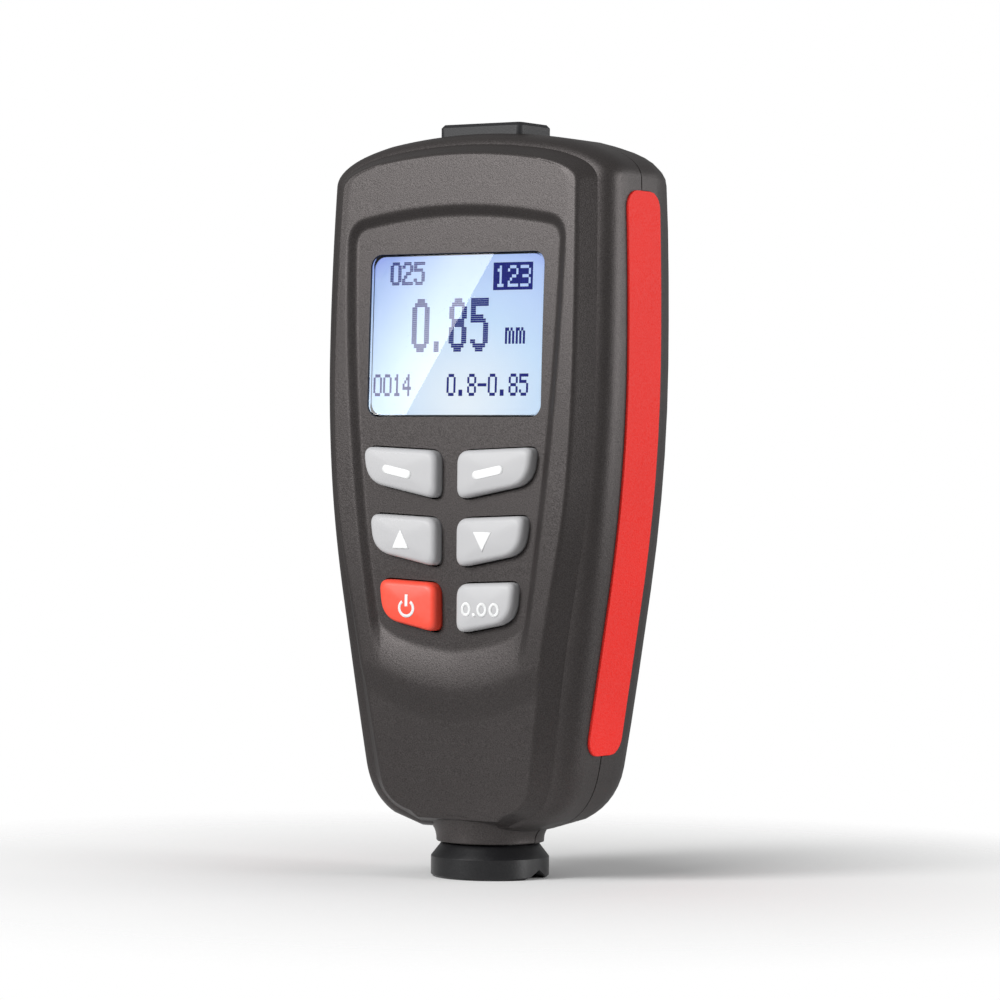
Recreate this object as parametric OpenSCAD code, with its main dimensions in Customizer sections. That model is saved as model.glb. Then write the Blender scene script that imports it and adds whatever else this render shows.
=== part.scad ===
// Hand-held coating thickness gauge, standing on its probe sleeve.
// X runs to the right of the display, -Y is the front, +Z is up.
// The origin is the centre of the sleeve's end face, in the seam plane of the housing.

/* [Housing] */
// Greatest width of the housing, at the seam
body_w = 53; // [50:0.5:62]
// Depth of the gauge from the back to the crowns of the keys
body_d = 26.5; // [26:0.5:30]
// Height of the housing's top at its middle
body_top = 112; // [100:0.2:124]
// Height at which the housing is widest
widest_at = 78.5; // [74:0.5:86]
// Slope of the lower sides
side_taper = 9; // [6:0.2:9.6]
// Height over which the sides turn from upright to that slope
taper_blend = 36; // [24:1:40]
// How much each side draws in towards the top
top_narrow = 0.9; // [0:0.1:1.6]
// Radius of the arched top at the seam
top_r = 92; // [85:1:140]
// Wall of the two covers
wall = 1.8; // [1.4:0.1:2.2]
// Height of the straight band at the seam, each way
seam_band = 4.2; // [4:0.1:5.6]

/* [Front face] */
// Distance of the raised face from the seam, at its fullest
face_d = 12; // [11.8:0.1:12.6]
// Height at which the face stands fullest
belly_at = 55; // [50:1:60]
// Radius of the face above that height, seen from the side
face_r_up = 880; // [700:10:1200]
// Radius of the face below that height
face_r_down = 480; // [400:10:600]
// Inset of the face's edge from the seam outline, upper part
face_inset = 4.6; // [4.2:0.1:5.4]
// Inset of the face's edge, lower part
lower_inset = 5.6; // [5:0.1:7]
// Height of the face's top edge at its middle
face_top_at = 108.8; // [108:0.1:109.6]
// Step of the raised face above the lower apron
apron_step = 0.5; // [0.3:0.05:0.8]
// Height of the face's lower edge at its middle
apron_at = 28.3; // [27:0.1:30]

/* [Sunken panel] */
// Depth of the panel below the raised face
panel_depth = 0.8; // [0.5:0.05:1.1]
// Width of the sloping rim round it
panel_rim = 1.4; // [0.8:0.1:1.6]
// Half width of the panel at its top
panel_top_w = 18.4; // [17.6:0.1:18.8]
// Half width of the panel at the bottom
panel_low_w = 13.2; // [12.8:0.1:13.6]
// Height of the panel's top at the middle
panel_top_at = 99.4; // [98.6:0.1:100]
// Height of the panel's bottom at the middle
panel_low_at = 34.2; // [33.6:0.1:35]

/* [Display] */
// Width of the window
window_w = 31; // [28:0.5:32]
// Height of the window
window_h = 24; // [21:0.5:24.5]
// Height of the window's middle
window_at = 81.5; // [80.5:0.1:82]
// Thickness of the window
window_t = 1; // [0.8:0.1:1.2]
// Corner radius of the window
window_r = 1.6; // [1:0.1:2.5]
// Border of the adhesive frame
gasket_w = 0.8; // [0.6:0.1:1.2]
// Thickness of the adhesive frame
gasket_t = 0.3; // [0.2:0.05:0.4]
// Thickness of the display glass
glass_t = 1.8; // [1.4:0.1:2]
// Thickness of the backlight
backlight_t = 1.6; // [1.2:0.1:2]

/* [Keys] */
// Heights of the upper outer corners of the three rows
key_rows_at = [64.8, 54.7, 44.9]; // [40:0.1:70]
// Distance of each row's outer edge from the middle
key_outer = [15.4, 14.1, 12.4]; // [12:0.1:16]
// Distance of the inner edges from the middle
key_inner = 1.2; // [1:0.1:1.6]
// Height of a key at its inner edge
key_h = 7.9; // [7:0.1:8.2]
// Slope of the lower edges
key_slope = 11; // [8:0.5:13]
// Slope of the upper edges
key_top_slope = 2.5; // [0:0.5:4]
// Width of the soft edge round a key's crown
key_soft = 0.9; // [0.6:0.1:1.1]
// Travel of a key
key_travel = 0.8; // [0.5:0.1:0.9]
// Width of the collar that holds a key behind the panel
key_collar = 0.7; // [0.5:0.1:0.8]
// Thickness of that collar
key_collar_t = 1; // [0.8:0.1:1.2]
// Radius of the post under a key
key_post_r = 1.8; // [1.4:0.1:2]

/* [Grips] */
// Width of a grip strip, across the seam
grip_w = 8.8; // [8:0.1:9]
// Height of its lower end
grip_low_at = 19.1; // [17:0.1:22]
// Height of its upper end
grip_high_at = 102.8; // [100:0.1:104]
// Depth of the channel that the grip lies in
grip_depth = 0.9; // [0.6:0.1:1.1]
// Height of the grip above the wall
grip_proud = 0.35; // [0.2:0.05:0.5]
// Corner radius of the ends
grip_r = 2.6; // [1.5:0.1:4]

/* [Probe] */
// Radius of the sleeve's collar
sleeve_r = 8.95; // [8.4:0.05:9.4]
// Height of the sleeve's collar
sleeve_h = 5.1; // [4.9:0.05:5.3]
// Height of the collar's cylindrical part
sleeve_rim = 3.1; // [2.6:0.1:3.6]
// Radius of the sleeve's top edge
sleeve_top_r = 7.4; // [7.1:0.1:7.8]
// Width of the groove across the end face
groove_w = 5.7; // [5:0.1:6.4]
// Depth of that groove
groove_d = 1.4; // [1.1:0.1:1.7]
// Radius of the sleeve's stem inside the housing
stem_r = 6.2; // [5.9:0.1:6.4]
// Radius of the flange that the covers clamp
flange_r = 7.8; // [7.4:0.1:8.2]
// Thickness of that flange
flange_t = 1.4; // [1.2:0.1:1.8]
// Height of the flange's lower side
flange_z = 12.4; // [12:0.1:13]
// Length of the stem above the flange
stem_top = 6; // [5:0.1:7]
// Thickness of the sleeve's end wall
sleeve_floor = 2.3; // [2:0.1:2.6]
// Radius of the moving probe's nose
nose_r = 2.2; // [1.8:0.1:2.4]
// Radius of the moving probe's barrel
barrel_r = 4; // [3.8:0.1:4.3]
// Length of the barrel
barrel_l = 8.4; // [7.6:0.1:8.6]
// How far the probe comes out when the gauge is lifted
probe_travel = 1.5; // [1:0.1:1.8]
// Wire of the probe's spring
spring_wire = 0.5; // [0.4:0.05:0.6]
// Neck of the housing above the sleeve
neck_r = 8.15; // [7.9:0.05:8.4]

/* [Data socket] */
// Width of the rubber cover
port_w = 15; // [13:0.1:16]
// Depth of the rubber cover
port_d = 8.6; // [7:0.1:9]
// Corner radius of the rubber cover
port_r = 1.1; // [0.9:0.1:2.6]
// Height of the rubber cover above the housing's top
port_proud = 1.5; // [1.2:0.1:2.2]
// Width of the socket
socket_w = 7.7; // [7.4:0.1:8]
// Depth of the socket
socket_d = 3.9; // [3.6:0.1:4.1]
// Length of the socket
socket_l = 9.2; // [8.5:0.1:9.4]

/* [Battery] */
// Diameter of a cell
cell_d = 10.4; // [10:0.1:10.5]
// Length of a cell
cell_l = 43.4; // [42:0.1:44]
// Height of the button contact
cell_button = 0.9; // [0.7:0.1:1.1]
// Height of the bay's middle
bay_at = 62; // [60:0.5:64]
// Room at each end of a cell
bay_end = 3.6; // [3:0.1:4]
// Rim on which the door rests, at the sides and ends
door_rim = 1.5; // [1.2:0.1:1.8]
// Thickness of the door
door_t = 1.6; // [1.4:0.1:1.8]
// Radius of the door's rolled upper edge, about which it swings
hinge_r = 0.8; // [0.6:0.1:0.9]
// Corner radius of the door
door_r = 3; // [2:0.1:4]
// Thickness of the bay's own walls
bay_wall = 1.1; // [0.9:0.1:1.3]

/* [Board] */
// Thickness of the main board
board_t = 1.6; // [1.2:0.1:1.6]
// Distance of the board's front from the seam
board_y = 4; // [3.9:0.05:4.2]
// Thickness of the keypad mat
mat_t = 1; // [0.8:0.1:1.1]
// Height of a switch dome
dome_h = 0.5; // [0.3:0.05:0.6]

/* [Fits] */
// Clearance round keys, window, door and rubber cover
fit = 0.25; // [0.2:0.05:0.35]
// Clearance of parts that slide on each other
slide = 0.3; // [0.2:0.05:0.4]
// Clearance of parts that are laid in place
lay = 0.1; // [0.05:0.05:0.15]

/* [Hidden] */

FRONT = -1;
BACK = 1;
fine = 48;
medium = 24;
cut = 1;
back_d = body_d / 2;
half_w = body_w / 2;

// Heights above are drawn for a housing of this height and move in step with body_top
drawn_top = 112;
function up(z) = z * body_top / drawn_top;
widest_z = up(widest_at);
belly_z = up(belly_at);
face_top = up(face_top_at);
apron_z = up(apron_at);
panel_top = up(panel_top_at);
panel_low = up(panel_low_at);
window_z = up(window_at);
key_rows = [for (z = key_rows_at) up(z)];
grip_low = up(grip_low_at);
grip_high = up(grip_high_at);
bay_z = up(bay_at);

// Stations along one side of an outline: top, upper corner, side, lower corner
OUTSIDE = [5, 7, 13, 7];
RAISED = [6, 6, 13, 7];
INSIDE = [3, 3, 7, 3];

// Outline of the housing, seam and face
corner_w = 10;
corner_h = 7.4;
face_corner_slim = 3.2;
face_corner_low = 2.2;
face_top_r = 88;
back_top_r = 82;
low_z = 17.3;
face_low_z = 14.7;
foot_x = 14.6;
foot_z = 9.1;
face_foot_x = 8.6;
face_foot_z = 10;
foot_lean = 0.12;
foot_fullness = 0.45;
neck_z = 7.4;
face_neck_z = 9;
neck_foot = 0.9;
face_neck_in = 1.4;
shoulder = 0.6;
shoulder_y = 0.77;
bank_edge = 0.97;
bank_y = 0.96;
face_edge = 1.06;
bottom_round_z = 17;
front_foot_fall = 0.3;
back_foot_fall = 3.2;
back_inset = 7.8;
back_top_drop = 5.8;
inset_low_z = 34;
inset_blend = 26;
raise_from = 0.98;
raise_to = 1.1;
flare_w = 1.2;
flare_h = 0.9;
back_flat = 62;
back_fall = 0.0025;

// Sagging lower edge of the raised face
sag_rise = 5.4;
sag_w = 6;
sag_lift = 0.8;
sag_slope = 3;

// Outline of the sunken panel: arched top, rounded corners, swelling sides, sagging bottom
panel_arch_r = 85;
panel_corner_w = 2;
panel_corner_h = 4.2;
panel_corner_z = 1.9;
panel_swell = 0.4;
panel_sag = 4.2;
panel_sag_w = 2;
panel_sag_h = 3.2;
panel_low_grow = 0.4;

// Key outline: draw-in of the lower outer corner, roundings of the four corners
key_rake = 0.7;
key_round = [1.5, 1.7, 3, 1.7];
key_soft_mid = 0.3;

// Screw places: [x, z] on the right, mirrored to the left
case_posts = [[17.4, up(100)], [11.2, up(22.6)]];
board_posts = [[18.9, up(65.6)], [12.6, up(31)]];
post_r = 2.5;
board_post_r = 1.8;
post_draft = 0.3;
shank_r = 1.15;
head_r = 2.1;
head_h = 1.3;
head_y = 6.5;
screw_reach = 7;
board_head_r = 1.9;
board_head_h = 1;
board_screw_l = 3.5;
slot_l = 2.4;
slot_w = 0.5;

// Layers from the window to the board
panel_tilt = asin((window_z - belly_z) / face_r_up);
ledge_t = 0.6;
glass_y = window_t + gasket_t + ledge_t + lay;
mat_y = board_y + dome_h + lay;
collar_y = wall + slide;
strip_h = 1.6;
glass_w = window_w + strip_h;
glass_h = window_h + 2;
frame_wall = 0.8;
frame_floor = 0.9;
frame_t = glass_t + backlight_t + frame_floor;
board_gap = face_y(window_z) - panel_depth - lay - board_y;
chip_t = 1.5;
chip_w = 7;
chip_z = up(80);
can_w = 1.9;
can_l = 4;
beeper_r = 3.7;
beeper_h = 3;
beeper_hole_r = 0.6;
dome_r = 3;
glass_r = 0.4;
frame_r = 1;
mat_rim = 1.2;
mat_top_w = key_outer[0] + mat_rim;
mat_low_w = key_outer[2] + mat_rim;

// Battery bay
cell_x = cell_d / 2 + slide;
bay_w = 4 * cell_x;
bay_l = cell_l + cell_button + 2 * bay_end;
chip_x = bay_w / 2 + bay_wall + slide + chip_w / 2;
beeper_z = bay_z - bay_l / 2 - bay_wall - slide - beeper_r;
cell_y = back_d - door_t - lay - cell_d / 2 - fit;
bay_y = cell_y - cell_d / 2 - lay;
door_w = bay_w + 2 * door_rim;
door_l = bay_l + 2 * door_rim;
tab_w = 4;
tab_x = 7;
tab_l = 1.4;
tab_t = 0.8;
thumb_w = 12;
thumb_d = 0.4;
thumb_z = 5;
thumb_pitch = 1.6;
thumb_count = 5;
cell_edge = 0.5;
button_r = 1.9;
cell_wire = 0.6;
cell_coil_r = 1.8;
pole_w = 8;
pole_t = 0.4;

// Data socket and its cover
socket_y = -(board_y - board_t) + socket_d / 2;
port_top = body_top + port_proud;
port_seat = body_top - port_w * port_w / (8 * top_r) - lay - slide / 2;
plug_in_w = 4.4;
plug_in_d = 3.4;
plug_l = 3.2;
plug_r = 0.8;
port_plug_w = port_w - plug_in_w;
port_plug_d = port_d - plug_in_d;
socket_top = body_top - wall - plug_l;

// Right half of the main board's outline, from the tongue down
board_margin = 4.6;
board_top = up(97);
board_low = up(27.5);
board_slant = 5;
function board_x(z) = side_w(z) - board_margin;
tongue_w = 8;
board_right = [[tongue_w, socket_top - 3], [tongue_w, board_top],
    [board_x(board_top) - board_slant, board_top],
    [board_x(board_top - board_slant), board_top - board_slant], [board_x(up(68)), up(68)],
    [board_x(board_low + board_slant), board_low + board_slant],
    [board_x(board_low) - board_slant / 2, board_low]];

// Probe inside the sleeve
barrel_z = sleeve_floor + probe_travel + lay;
barrel_top = barrel_z + barrel_l;
sleeve_bore = barrel_r + slide;
stem_end = flange_z + flange_t + stem_top;
plug_t = 1.4;
sleeve_edge = 0.35;
nose_edge = 0.6;
barrel_wall = 0.9;
bobbin_r = barrel_r - barrel_wall;
core_r = 1.1;
hub_r = 1.7;
bobbin_rim = 0.6;
bobbin_z = barrel_z + barrel_wall + slide;
tip_z = 0.05;

// Colours
charcoal = [0.16, 0.16, 0.16];
black = [0.08, 0.08, 0.08];
red = [0.86, 0.16, 0.14];
key_grey = [0.68, 0.69, 0.71];
metal = [0.78, 0.78, 0.8];
board_green = [0.1, 0.35, 0.2];

// Small helpers
function lerp(a, b, t) = a + (b - a) * t;
function smooth(t) = let (u = min(1, max(0, t))) u * u * (3 - 2 * u);
function bezier(a, c, b, t) = (1 - t) * (1 - t) * a + 2 * t * (1 - t) * c + t * t * b;

// Half width of the housing at the seam
function side_w(z) =
    let (lift = max(0, z - widest_z) / (body_top - widest_z))
    let (down = max(0, widest_z - z))
    let (blend = min(down, taper_blend))
    half_w - top_narrow * lift * lift
    - tan(side_taper) * (blend * blend / (2 * taper_blend) + max(0, down - taper_blend));

// Rounding of the faces towards the foot
function foot_fall(z, by) = let (u = max(0, bottom_round_z - z) / (bottom_round_z - foot_z)) by * u * u;

// Distance of the raised front face from the seam
function face_y(z) =
    let (r = z > belly_z ? face_r_up : face_r_down)
    face_d - (z - belly_z) * (z - belly_z) / (2 * r) - foot_fall(z, front_foot_fall);

// Distance of the housing's own front and of its back from the seam
function front_y(z) = face_y(z) - apron_step;
function back_y(z) =
    let (u = max(0, abs(z - bay_z) - back_flat / 2))
    back_d - back_fall * u * u - foot_fall(z, back_foot_fall);
function depth(side, z) = side == FRONT ? front_y(z) : back_y(z);

// Inset of the face edge, and the outline's half width at inset share t
function inset(side, z) =
    side == FRONT ? lerp(lower_inset, face_inset, smooth((z - up(inset_low_z)) / inset_blend)) : back_inset;
function edge_x(side, z, t, off) = side_w(z) - t * inset(side, z) - off;

// Right half of an outline, from the top's middle to the foot's middle, as [x, z]
function upper_part(side, t, off, n) =
    let (zt = lerp(body_top, side == FRONT ? face_top : body_top - back_top_drop, t) - off)
    let (rt = lerp(top_r, side == FRONT ? face_top_r : back_top_r, t))
    let (zb = zt - corner_h + face_corner_low * t)
    let (xb = edge_x(side, zb, t, off))
    let (xa = xb - corner_w + face_corner_slim * t)
    let (a = [xa, zt - xa * xa / (2 * rt)])
    let (c = [xb, zt - xb * xb / (2 * rt)])
    concat(
        [for (i = [0:n[0] - 1]) let (x = xa * i / n[0]) [x, zt - x * x / (2 * rt)]],
        [for (i = [0:n[1]]) bezier(a, c, [xb, zb], i / n[1])]);
function side_part(side, t, off, z_from, z_to, n) =
    [for (i = [1:n]) let (z = lerp(z_from, z_to, i / n)) [edge_x(side, z, t, off), z]];
function lower_part(side, t, off, n) =
    let (za = lerp(low_z, face_low_z, t) + off)
    let (a = [edge_x(side, za, t, off), za])
    let (b = [lerp(foot_x, face_foot_x, t) - off, lerp(foot_z, face_foot_z, t) + off])
    let (neck = lerp(neck_z, face_neck_z, t) + off)
    let (c = [a[0] - foot_lean * (a[1] - b[1]), b[1] + foot_fullness * (a[0] - b[0]) * (1 - t / 2)])
    concat(
        [for (i = [1:n[3]]) bezier(a, c, b, i / n[3])],
        [[lerp(neck_r + neck_foot, face_foot_x - face_neck_in, t) - off, neck], [0, neck]]);
function half_outline(side, t, off) =
    let (n = off > 0 ? INSIDE : OUTSIDE)
    let (top = upper_part(side, t, off, n))
    let (za = lerp(low_z, face_low_z, t) + off)
    concat(top, side_part(side, t, off, top[len(top) - 1][1], za, n[2]), lower_part(side, t, off, n));

// Closed loop from a right half, each point lifted to its own depth
function loop(half, y_at) =
    let (n = len(half))
    concat(
        [for (p = half) [p[0], y_at(p[1]), p[1]]],
        [for (i = [n - 2:-1:1]) [-half[i][0], y_at(half[i][1]), half[i][1]]]);
function body_ring(side, t, s, off, skin) =
    loop(half_outline(side, t, off), function (z) side * s * (depth(side, z) - skin));
function flat_ring(side, t, y, off) = loop(half_outline(side, t, off), function (z) y);

// Solid through rings of equal count that run from the back to the front
module loft(rings, mirrored = true) {
    n = len(rings[0]);
    m = len(rings);
    h = n / 2;
    walls = [for (k = [0:m - 2], i = [0:n - 1])
        let (a = k * n + i, b = k * n + (i + 1) % n) each [[a, b, b + n], [a, b + n, a + n]]];
    strip = concat(
        [[0, 1, n - 1], [h - 1, h, h + 1]],
        [for (i = [1:h - 2]) each [[i, i + 1, n - i - 1], [i, n - i - 1, n - i]]]);
    plain = [[for (i = [0:n - 1]) i]];
    cap = mirrored ? strip : plain;
    back = [for (f = cap) [for (i = [len(f) - 1:-1:0]) f[i]]];
    front = [for (f = cap) [for (i = f) i + (m - 1) * n]];
    polyhedron([for (r = rings) each r], concat(walls, back, front));
}

// Tube along a helix about Z, its radius running from r0 to r1
module coil(r0, r1, wire, z0, z1, turns, steps = 11, sides = 6) {
    count = turns * steps;
    rings = [for (i = [0:count]) let (u = i / count, a = -360 * turns * u, r = lerp(r0, r1, u))
        [for (j = [0:sides - 1]) let (b = 360 * j / sides, q = r + wire / 2 * cos(b))
            [q * cos(a), q * sin(a), lerp(z0, z1, u) - wire / 2 * sin(b)]]];
    loft(rings, false);
}

// Plate in the XZ plane with rounded corners, its front at y
module plate(w, h, r, y, t, z = 0) {
    translate([0, y, z]) rotate([-90, 0, 0]) linear_extrude(t) rounded(w, h, r);
}
module rounded(w, h, r) {
    hull() for (x = [-1, 1], y = [-1, 1])
        translate([x * (w / 2 - r), y * (h / 2 - r)]) circle(r, $fn = medium);
}
module frame_plate(w, h, r, y, t, border) {
    translate([0, y, 0]) rotate([-90, 0, 0]) linear_extrude(t) difference() {
        rounded(w, h, r);
        square([w - 2 * border, h - 2 * border], center = true);
    }
}
module mirror_x() {
    children();
    mirror([1, 0, 0]) children();
}
module rod_y(r, y0, y1, fn = medium) {
    translate([0, y0, 0]) rotate([-90, 0, 0]) cylinder(r = r, h = y1 - y0, $fn = fn);
}

// Frame of the display: its origin is the middle of the window's front, -Y faces out
module at_display() {
    translate([0, -(face_y(window_z) - panel_depth - lay), window_z])
        rotate([-panel_tilt, 0, 0]) children();
}

// Housing as a full solid on one side of the seam, and the space inside it
module outer_front() {
    loft([body_ring(FRONT, 0, 0, 0, 0), flat_ring(FRONT, 0, -seam_band, 0),
        for (u = [1:4]) body_ring(FRONT, shoulder * (1 - cos(u * 22.5)),
            lerp(seam_band / face_d, shoulder_y, sin(u * 22.5)), 0, 0),
        body_ring(FRONT, bank_edge, bank_y, 0, 0), body_ring(FRONT, face_edge, 1, 0, 0)]);
    raised_face();
    neck(FRONT);
}
module outer_rear() {
    loft([for (u = [6:-1:0])
            body_ring(BACK, 1 - cos(u * 15), lerp(seam_band / back_d, 1, sin(u * 15)), 0, 0),
        body_ring(BACK, 0, 0, 0, 0)]);
    neck(BACK);
}
module inside_front() {
    loft([flat_ring(FRONT, 0, cut, wall), flat_ring(FRONT, 0, -seam_band + wall / 2, wall),
        body_ring(FRONT, shoulder, shoulder_y, wall, wall),
        loop(half_outline(FRONT, 1, wall), function (z) -(face_y(z) - panel_depth - wall))]);
}
module inside_rear() {
    loft([for (u = [3:-1:0])
            body_ring(BACK, 1 - cos(u * 30), lerp(seam_band / back_d, 1, sin(u * 30)), wall, wall),
        flat_ring(BACK, 0, -cut, wall)]);
}
module neck(side) {
    intersection() {
        neck_turned();
        half_space(side);
    }
}
module neck_turned() {
    low = [neck_r, neck_z - flare_h];
    high = [neck_r + flare_w, neck_z + flare_h];
    rotate_extrude($fn = fine) polygon(concat(
        [[0, sleeve_h + fit], [neck_r, sleeve_h + fit], low],
        [for (i = [1:4]) bezier(low, [neck_r, neck_z + flare_h / 3], high, i / 4)],
        [[neck_r, foot_z + cut], [0, foot_z + cut]]));
}

// Raised part of the front face, bounded below by a sagging arc
function face_half(t) =
    let (top = upper_part(FRONT, t, lay, RAISED))
    let (z_end = apron_z + sag_rise)
    let (x_end = edge_x(FRONT, z_end, t, lay))
    let (low = apron_z + (t - 1) * sag_slope)
    let (b = [x_end - sag_w, low + sag_lift])
    concat(top, side_part(FRONT, t, lay, top[len(top) - 1][1], z_end, RAISED[2]),
        [for (i = [1:5]) bezier([x_end, z_end], [x_end - sag_w / 4, low + sag_lift], b, i / 5)],
        [[0, low]]);
module raised_face() {
    loft([loop(face_half(1), function (z) -(front_y(z) - cut)),
        loop(face_half(raise_from), function (z) -(front_y(z) - lay)),
        loop(face_half(raise_to), function (z) -face_y(z))]);
}

// Sunken panel as a cutter with sloping sides
function panel_arch(zt, x) = zt - x * x / (2 * panel_arch_r);
function panel_half(off) =
    let (zt = panel_top + off, zc = zt - panel_corner_h)
    let (zm = panel_low - panel_low_grow * off, zl = zm + panel_sag)
    let (wt = panel_top_w + off, wl = panel_low_w + off, wc = wt - panel_corner_w)
    concat(
        [for (i = [0:3]) let (x = wc * i / 4) [x, panel_arch(zt, x)]],
        [for (i = [0:4]) bezier([wc, panel_arch(zt, wc)], [wt, zt - panel_corner_z], [wt, zc], i / 4)],
        [for (i = [1:9]) let (u = i / 9) [bezier(wt, wt - panel_swell, wl, u), lerp(zc, zl, u)]],
        [for (i = [1:6]) bezier([wl, zl], [wl - panel_sag_w, zl - panel_sag_h], [0, zm], i / 6)]);
module sunken_panel() {
    over = 1.5;
    loft([loop(panel_half(0), function (z) -(face_y(z) - panel_depth)),
        loop(panel_half(panel_rim * (1 + over / panel_depth)), function (z) -(face_y(z) + over))]);
}

// Outline of a key on the right: corners, their roundings, then the rounded loop
function key_corners(row) =
    let (w = key_outer[row] - key_inner)
    let (zt = key_rows[row], zi = zt - w * tan(key_top_slope))
    let (zb = zt - key_h)
    let (lower = [key_outer[row] - key_rake, zb + (w - key_rake) * tan(key_slope)])
    [[key_inner, zi], [key_outer[row], zt], lower, [key_inner, zb]];
function key_loop(row, grow, y) =
    let (q = key_corners(row))
    let (mid = (q[0] + q[1] + q[2] + q[3]) / 4)
    let (w = key_outer[row] - key_inner)
    let (s = [1 + 2 * grow / w, 1 + 2 * grow / key_h])
    [for (k = [0:3], i = [0:5])
        let (p = q[k], a = q[(k + 3) % 4] - p, b = q[(k + 1) % 4] - p)
        let (e = bezier(p + a / norm(a) * key_round[k], p, p + b / norm(b) * key_round[k], i / 5) - mid)
        [mid[0] + e[0] * s[0], y, mid[1] + e[1] * s[1]]];
function key_mid(row) = let (q = key_corners(row)) (q[0] + q[1] + q[2] + q[3]) / 4;
function key_seat(row) = face_y(key_mid(row)[1]) - panel_depth;
function key_crown(row) = back_d - (face_d - face_y(key_mid(row)[1]));

module key_shape(row) {
    front = -(key_seat(row) - collar_y);
    crown = -key_crown(row);
    loft([key_loop(row, key_collar, front + key_collar_t), key_loop(row, key_collar, front),
        key_loop(row, 0, front), key_loop(row, 0, crown + key_soft),
        key_loop(row, -key_soft_mid * key_soft, crown + key_soft_mid * key_soft),
        key_loop(row, -key_soft, crown)], false);
    translate([key_mid(row)[0], 0, key_mid(row)[1]])
        rod_y(key_post_r, front + key_collar_t / 2, -(mat_y + mat_t + key_travel + lay));
}
module key_hole(row) {
    hull() {
        loft([key_loop(row, fit, -(key_seat(row) - wall - cut)),
            key_loop(row, fit, -(key_seat(row) + cut))], false);
    }
}

// Grip strip: a band along the side, seen from the side a strip with rounded ends
module grip(grow) {
    steps = 16;
    zs = [for (i = [0:steps]) lerp(grip_low - cut, grip_high + cut, i / steps)];
    band = concat(
        [for (z = zs) [side_w(z) - grip_depth - grow, z]],
        [for (i = [steps:-1:0]) [side_w(zs[i]) + grip_proud + grow, zs[i]]]);
    intersection() {
        rotate([90, 0, 0]) linear_extrude(grip_w + 2 * cut, center = true) polygon(band);
        translate([0, 0, (grip_low + grip_high) / 2]) rotate([90, 0, 90]) linear_extrude(body_w)
            rounded(grip_w + 2 * grow, grip_high - grip_low + 2 * grow, grip_r + grow);
    }
}

// Cuts that both covers share
module shared_cuts() {
    mirror_x() grip(lay);
    translate([0, socket_y, socket_top - cut]) linear_extrude(body_top)
        rounded(port_plug_w + 2 * slide, port_plug_d + 2 * slide, plug_r + slide);
    translate([0, socket_y, port_seat - lay]) linear_extrude(body_top)
        rounded(port_w + 2 * fit, port_d + 2 * fit, port_r + fit);
    cylinder(r = stem_r + lay, h = flange_z + cut, $fn = fine);
    translate([0, 0, flange_z]) cylinder(r = flange_r + slide, h = flange_t + stem_top, $fn = fine);
}
module at_posts(posts) {
    for (p = posts) mirror_x() translate([p[0], 0, p[1]]) children();
}
module half_space(side) {
    translate([-body_w, side == FRONT ? -body_w : 0, -cut]) cube([2 * body_w, body_w, 2 * body_top]);
}
module probe_ledge(side) {
    intersection() {
        translate([0, 0, foot_z - lay])
            cylinder(r = flange_r + wall, h = flange_z - foot_z + lay, $fn = fine);
        half_space(side);
    }
}
module window_opening() {
    at_display() {
        plate(window_w + 2 * fit, window_h + 2 * fit, window_r + fit, -cut, cut + window_t + gasket_t);
        plate(window_w - 2 * gasket_w, window_h - 2 * gasket_w, window_r, 0, 3 * wall);
    }
}
module post(r, y_tip, y_root) {
    hull() {
        rod_y(r, y_tip - lay, y_tip);
        rod_y(r + post_draft, y_root, y_root + lay);
    }
}
module front_posts() {
    at_posts(case_posts) post(post_r, 0, -back_d);
    at_posts(board_posts) post(board_post_r, -board_y, -back_d);
}
module front_cover() {
    color(charcoal) difference() {
        outer_front();
        difference() {
            inside_front();
            front_posts();
            probe_ledge(FRONT);
        }
        sunken_panel();
        for (row = [0:2]) mirror_x() key_hole(row);
        window_opening();
        shared_cuts();
        at_posts(case_posts) rod_y(shank_r + lay, -screw_reach - lay, cut);
        at_posts(board_posts) rod_y(shank_r + lay, -board_y - board_screw_l - lay, -board_y + cut);
    }
}

module bay_block(grow) {
    translate([0, bay_y - grow, bay_z]) rotate([-90, 0, 0])
        linear_extrude(body_d) square([bay_w + 2 * grow, bay_l + 2 * grow], center = true);
}
module rear_solids() {
    at_posts(case_posts) mirror([0, 1, 0]) post(post_r, 0, -back_d);
    bay_block(bay_wall);
    at_door_tabs() translate([-tab_w / 2 - wall, -wall, -wall])
        cube([tab_w + 2 * wall, body_d, tab_l + 2 * wall]);
}
module rear_cover() {
    color(charcoal) difference() {
        union() {
            difference() {
                outer_rear();
                inside_rear();
            }
            intersection() {
                union() {
                    outer_rear();
                    translate([-bay_w, -seam_band, 0]) cube([2 * bay_w, seam_band, body_top]);
                }
                rear_solids();
            }
            probe_ledge(BACK);
        }
        bay_block(0);
        door_panel(fit, back_d - door_t - lay, body_d);
        at_door_tabs() tab_pocket();
        shared_cuts();
        at_posts(case_posts) {
            rod_y(shank_r + lay, -cut, body_d);
            rod_y(head_r + fit, head_y, body_d);
        }
    }
}
module left_grip() {
    color(red) mirror([1, 0, 0]) grip(0);
}
module right_grip() {
    color(red) grip(0);
}

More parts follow.
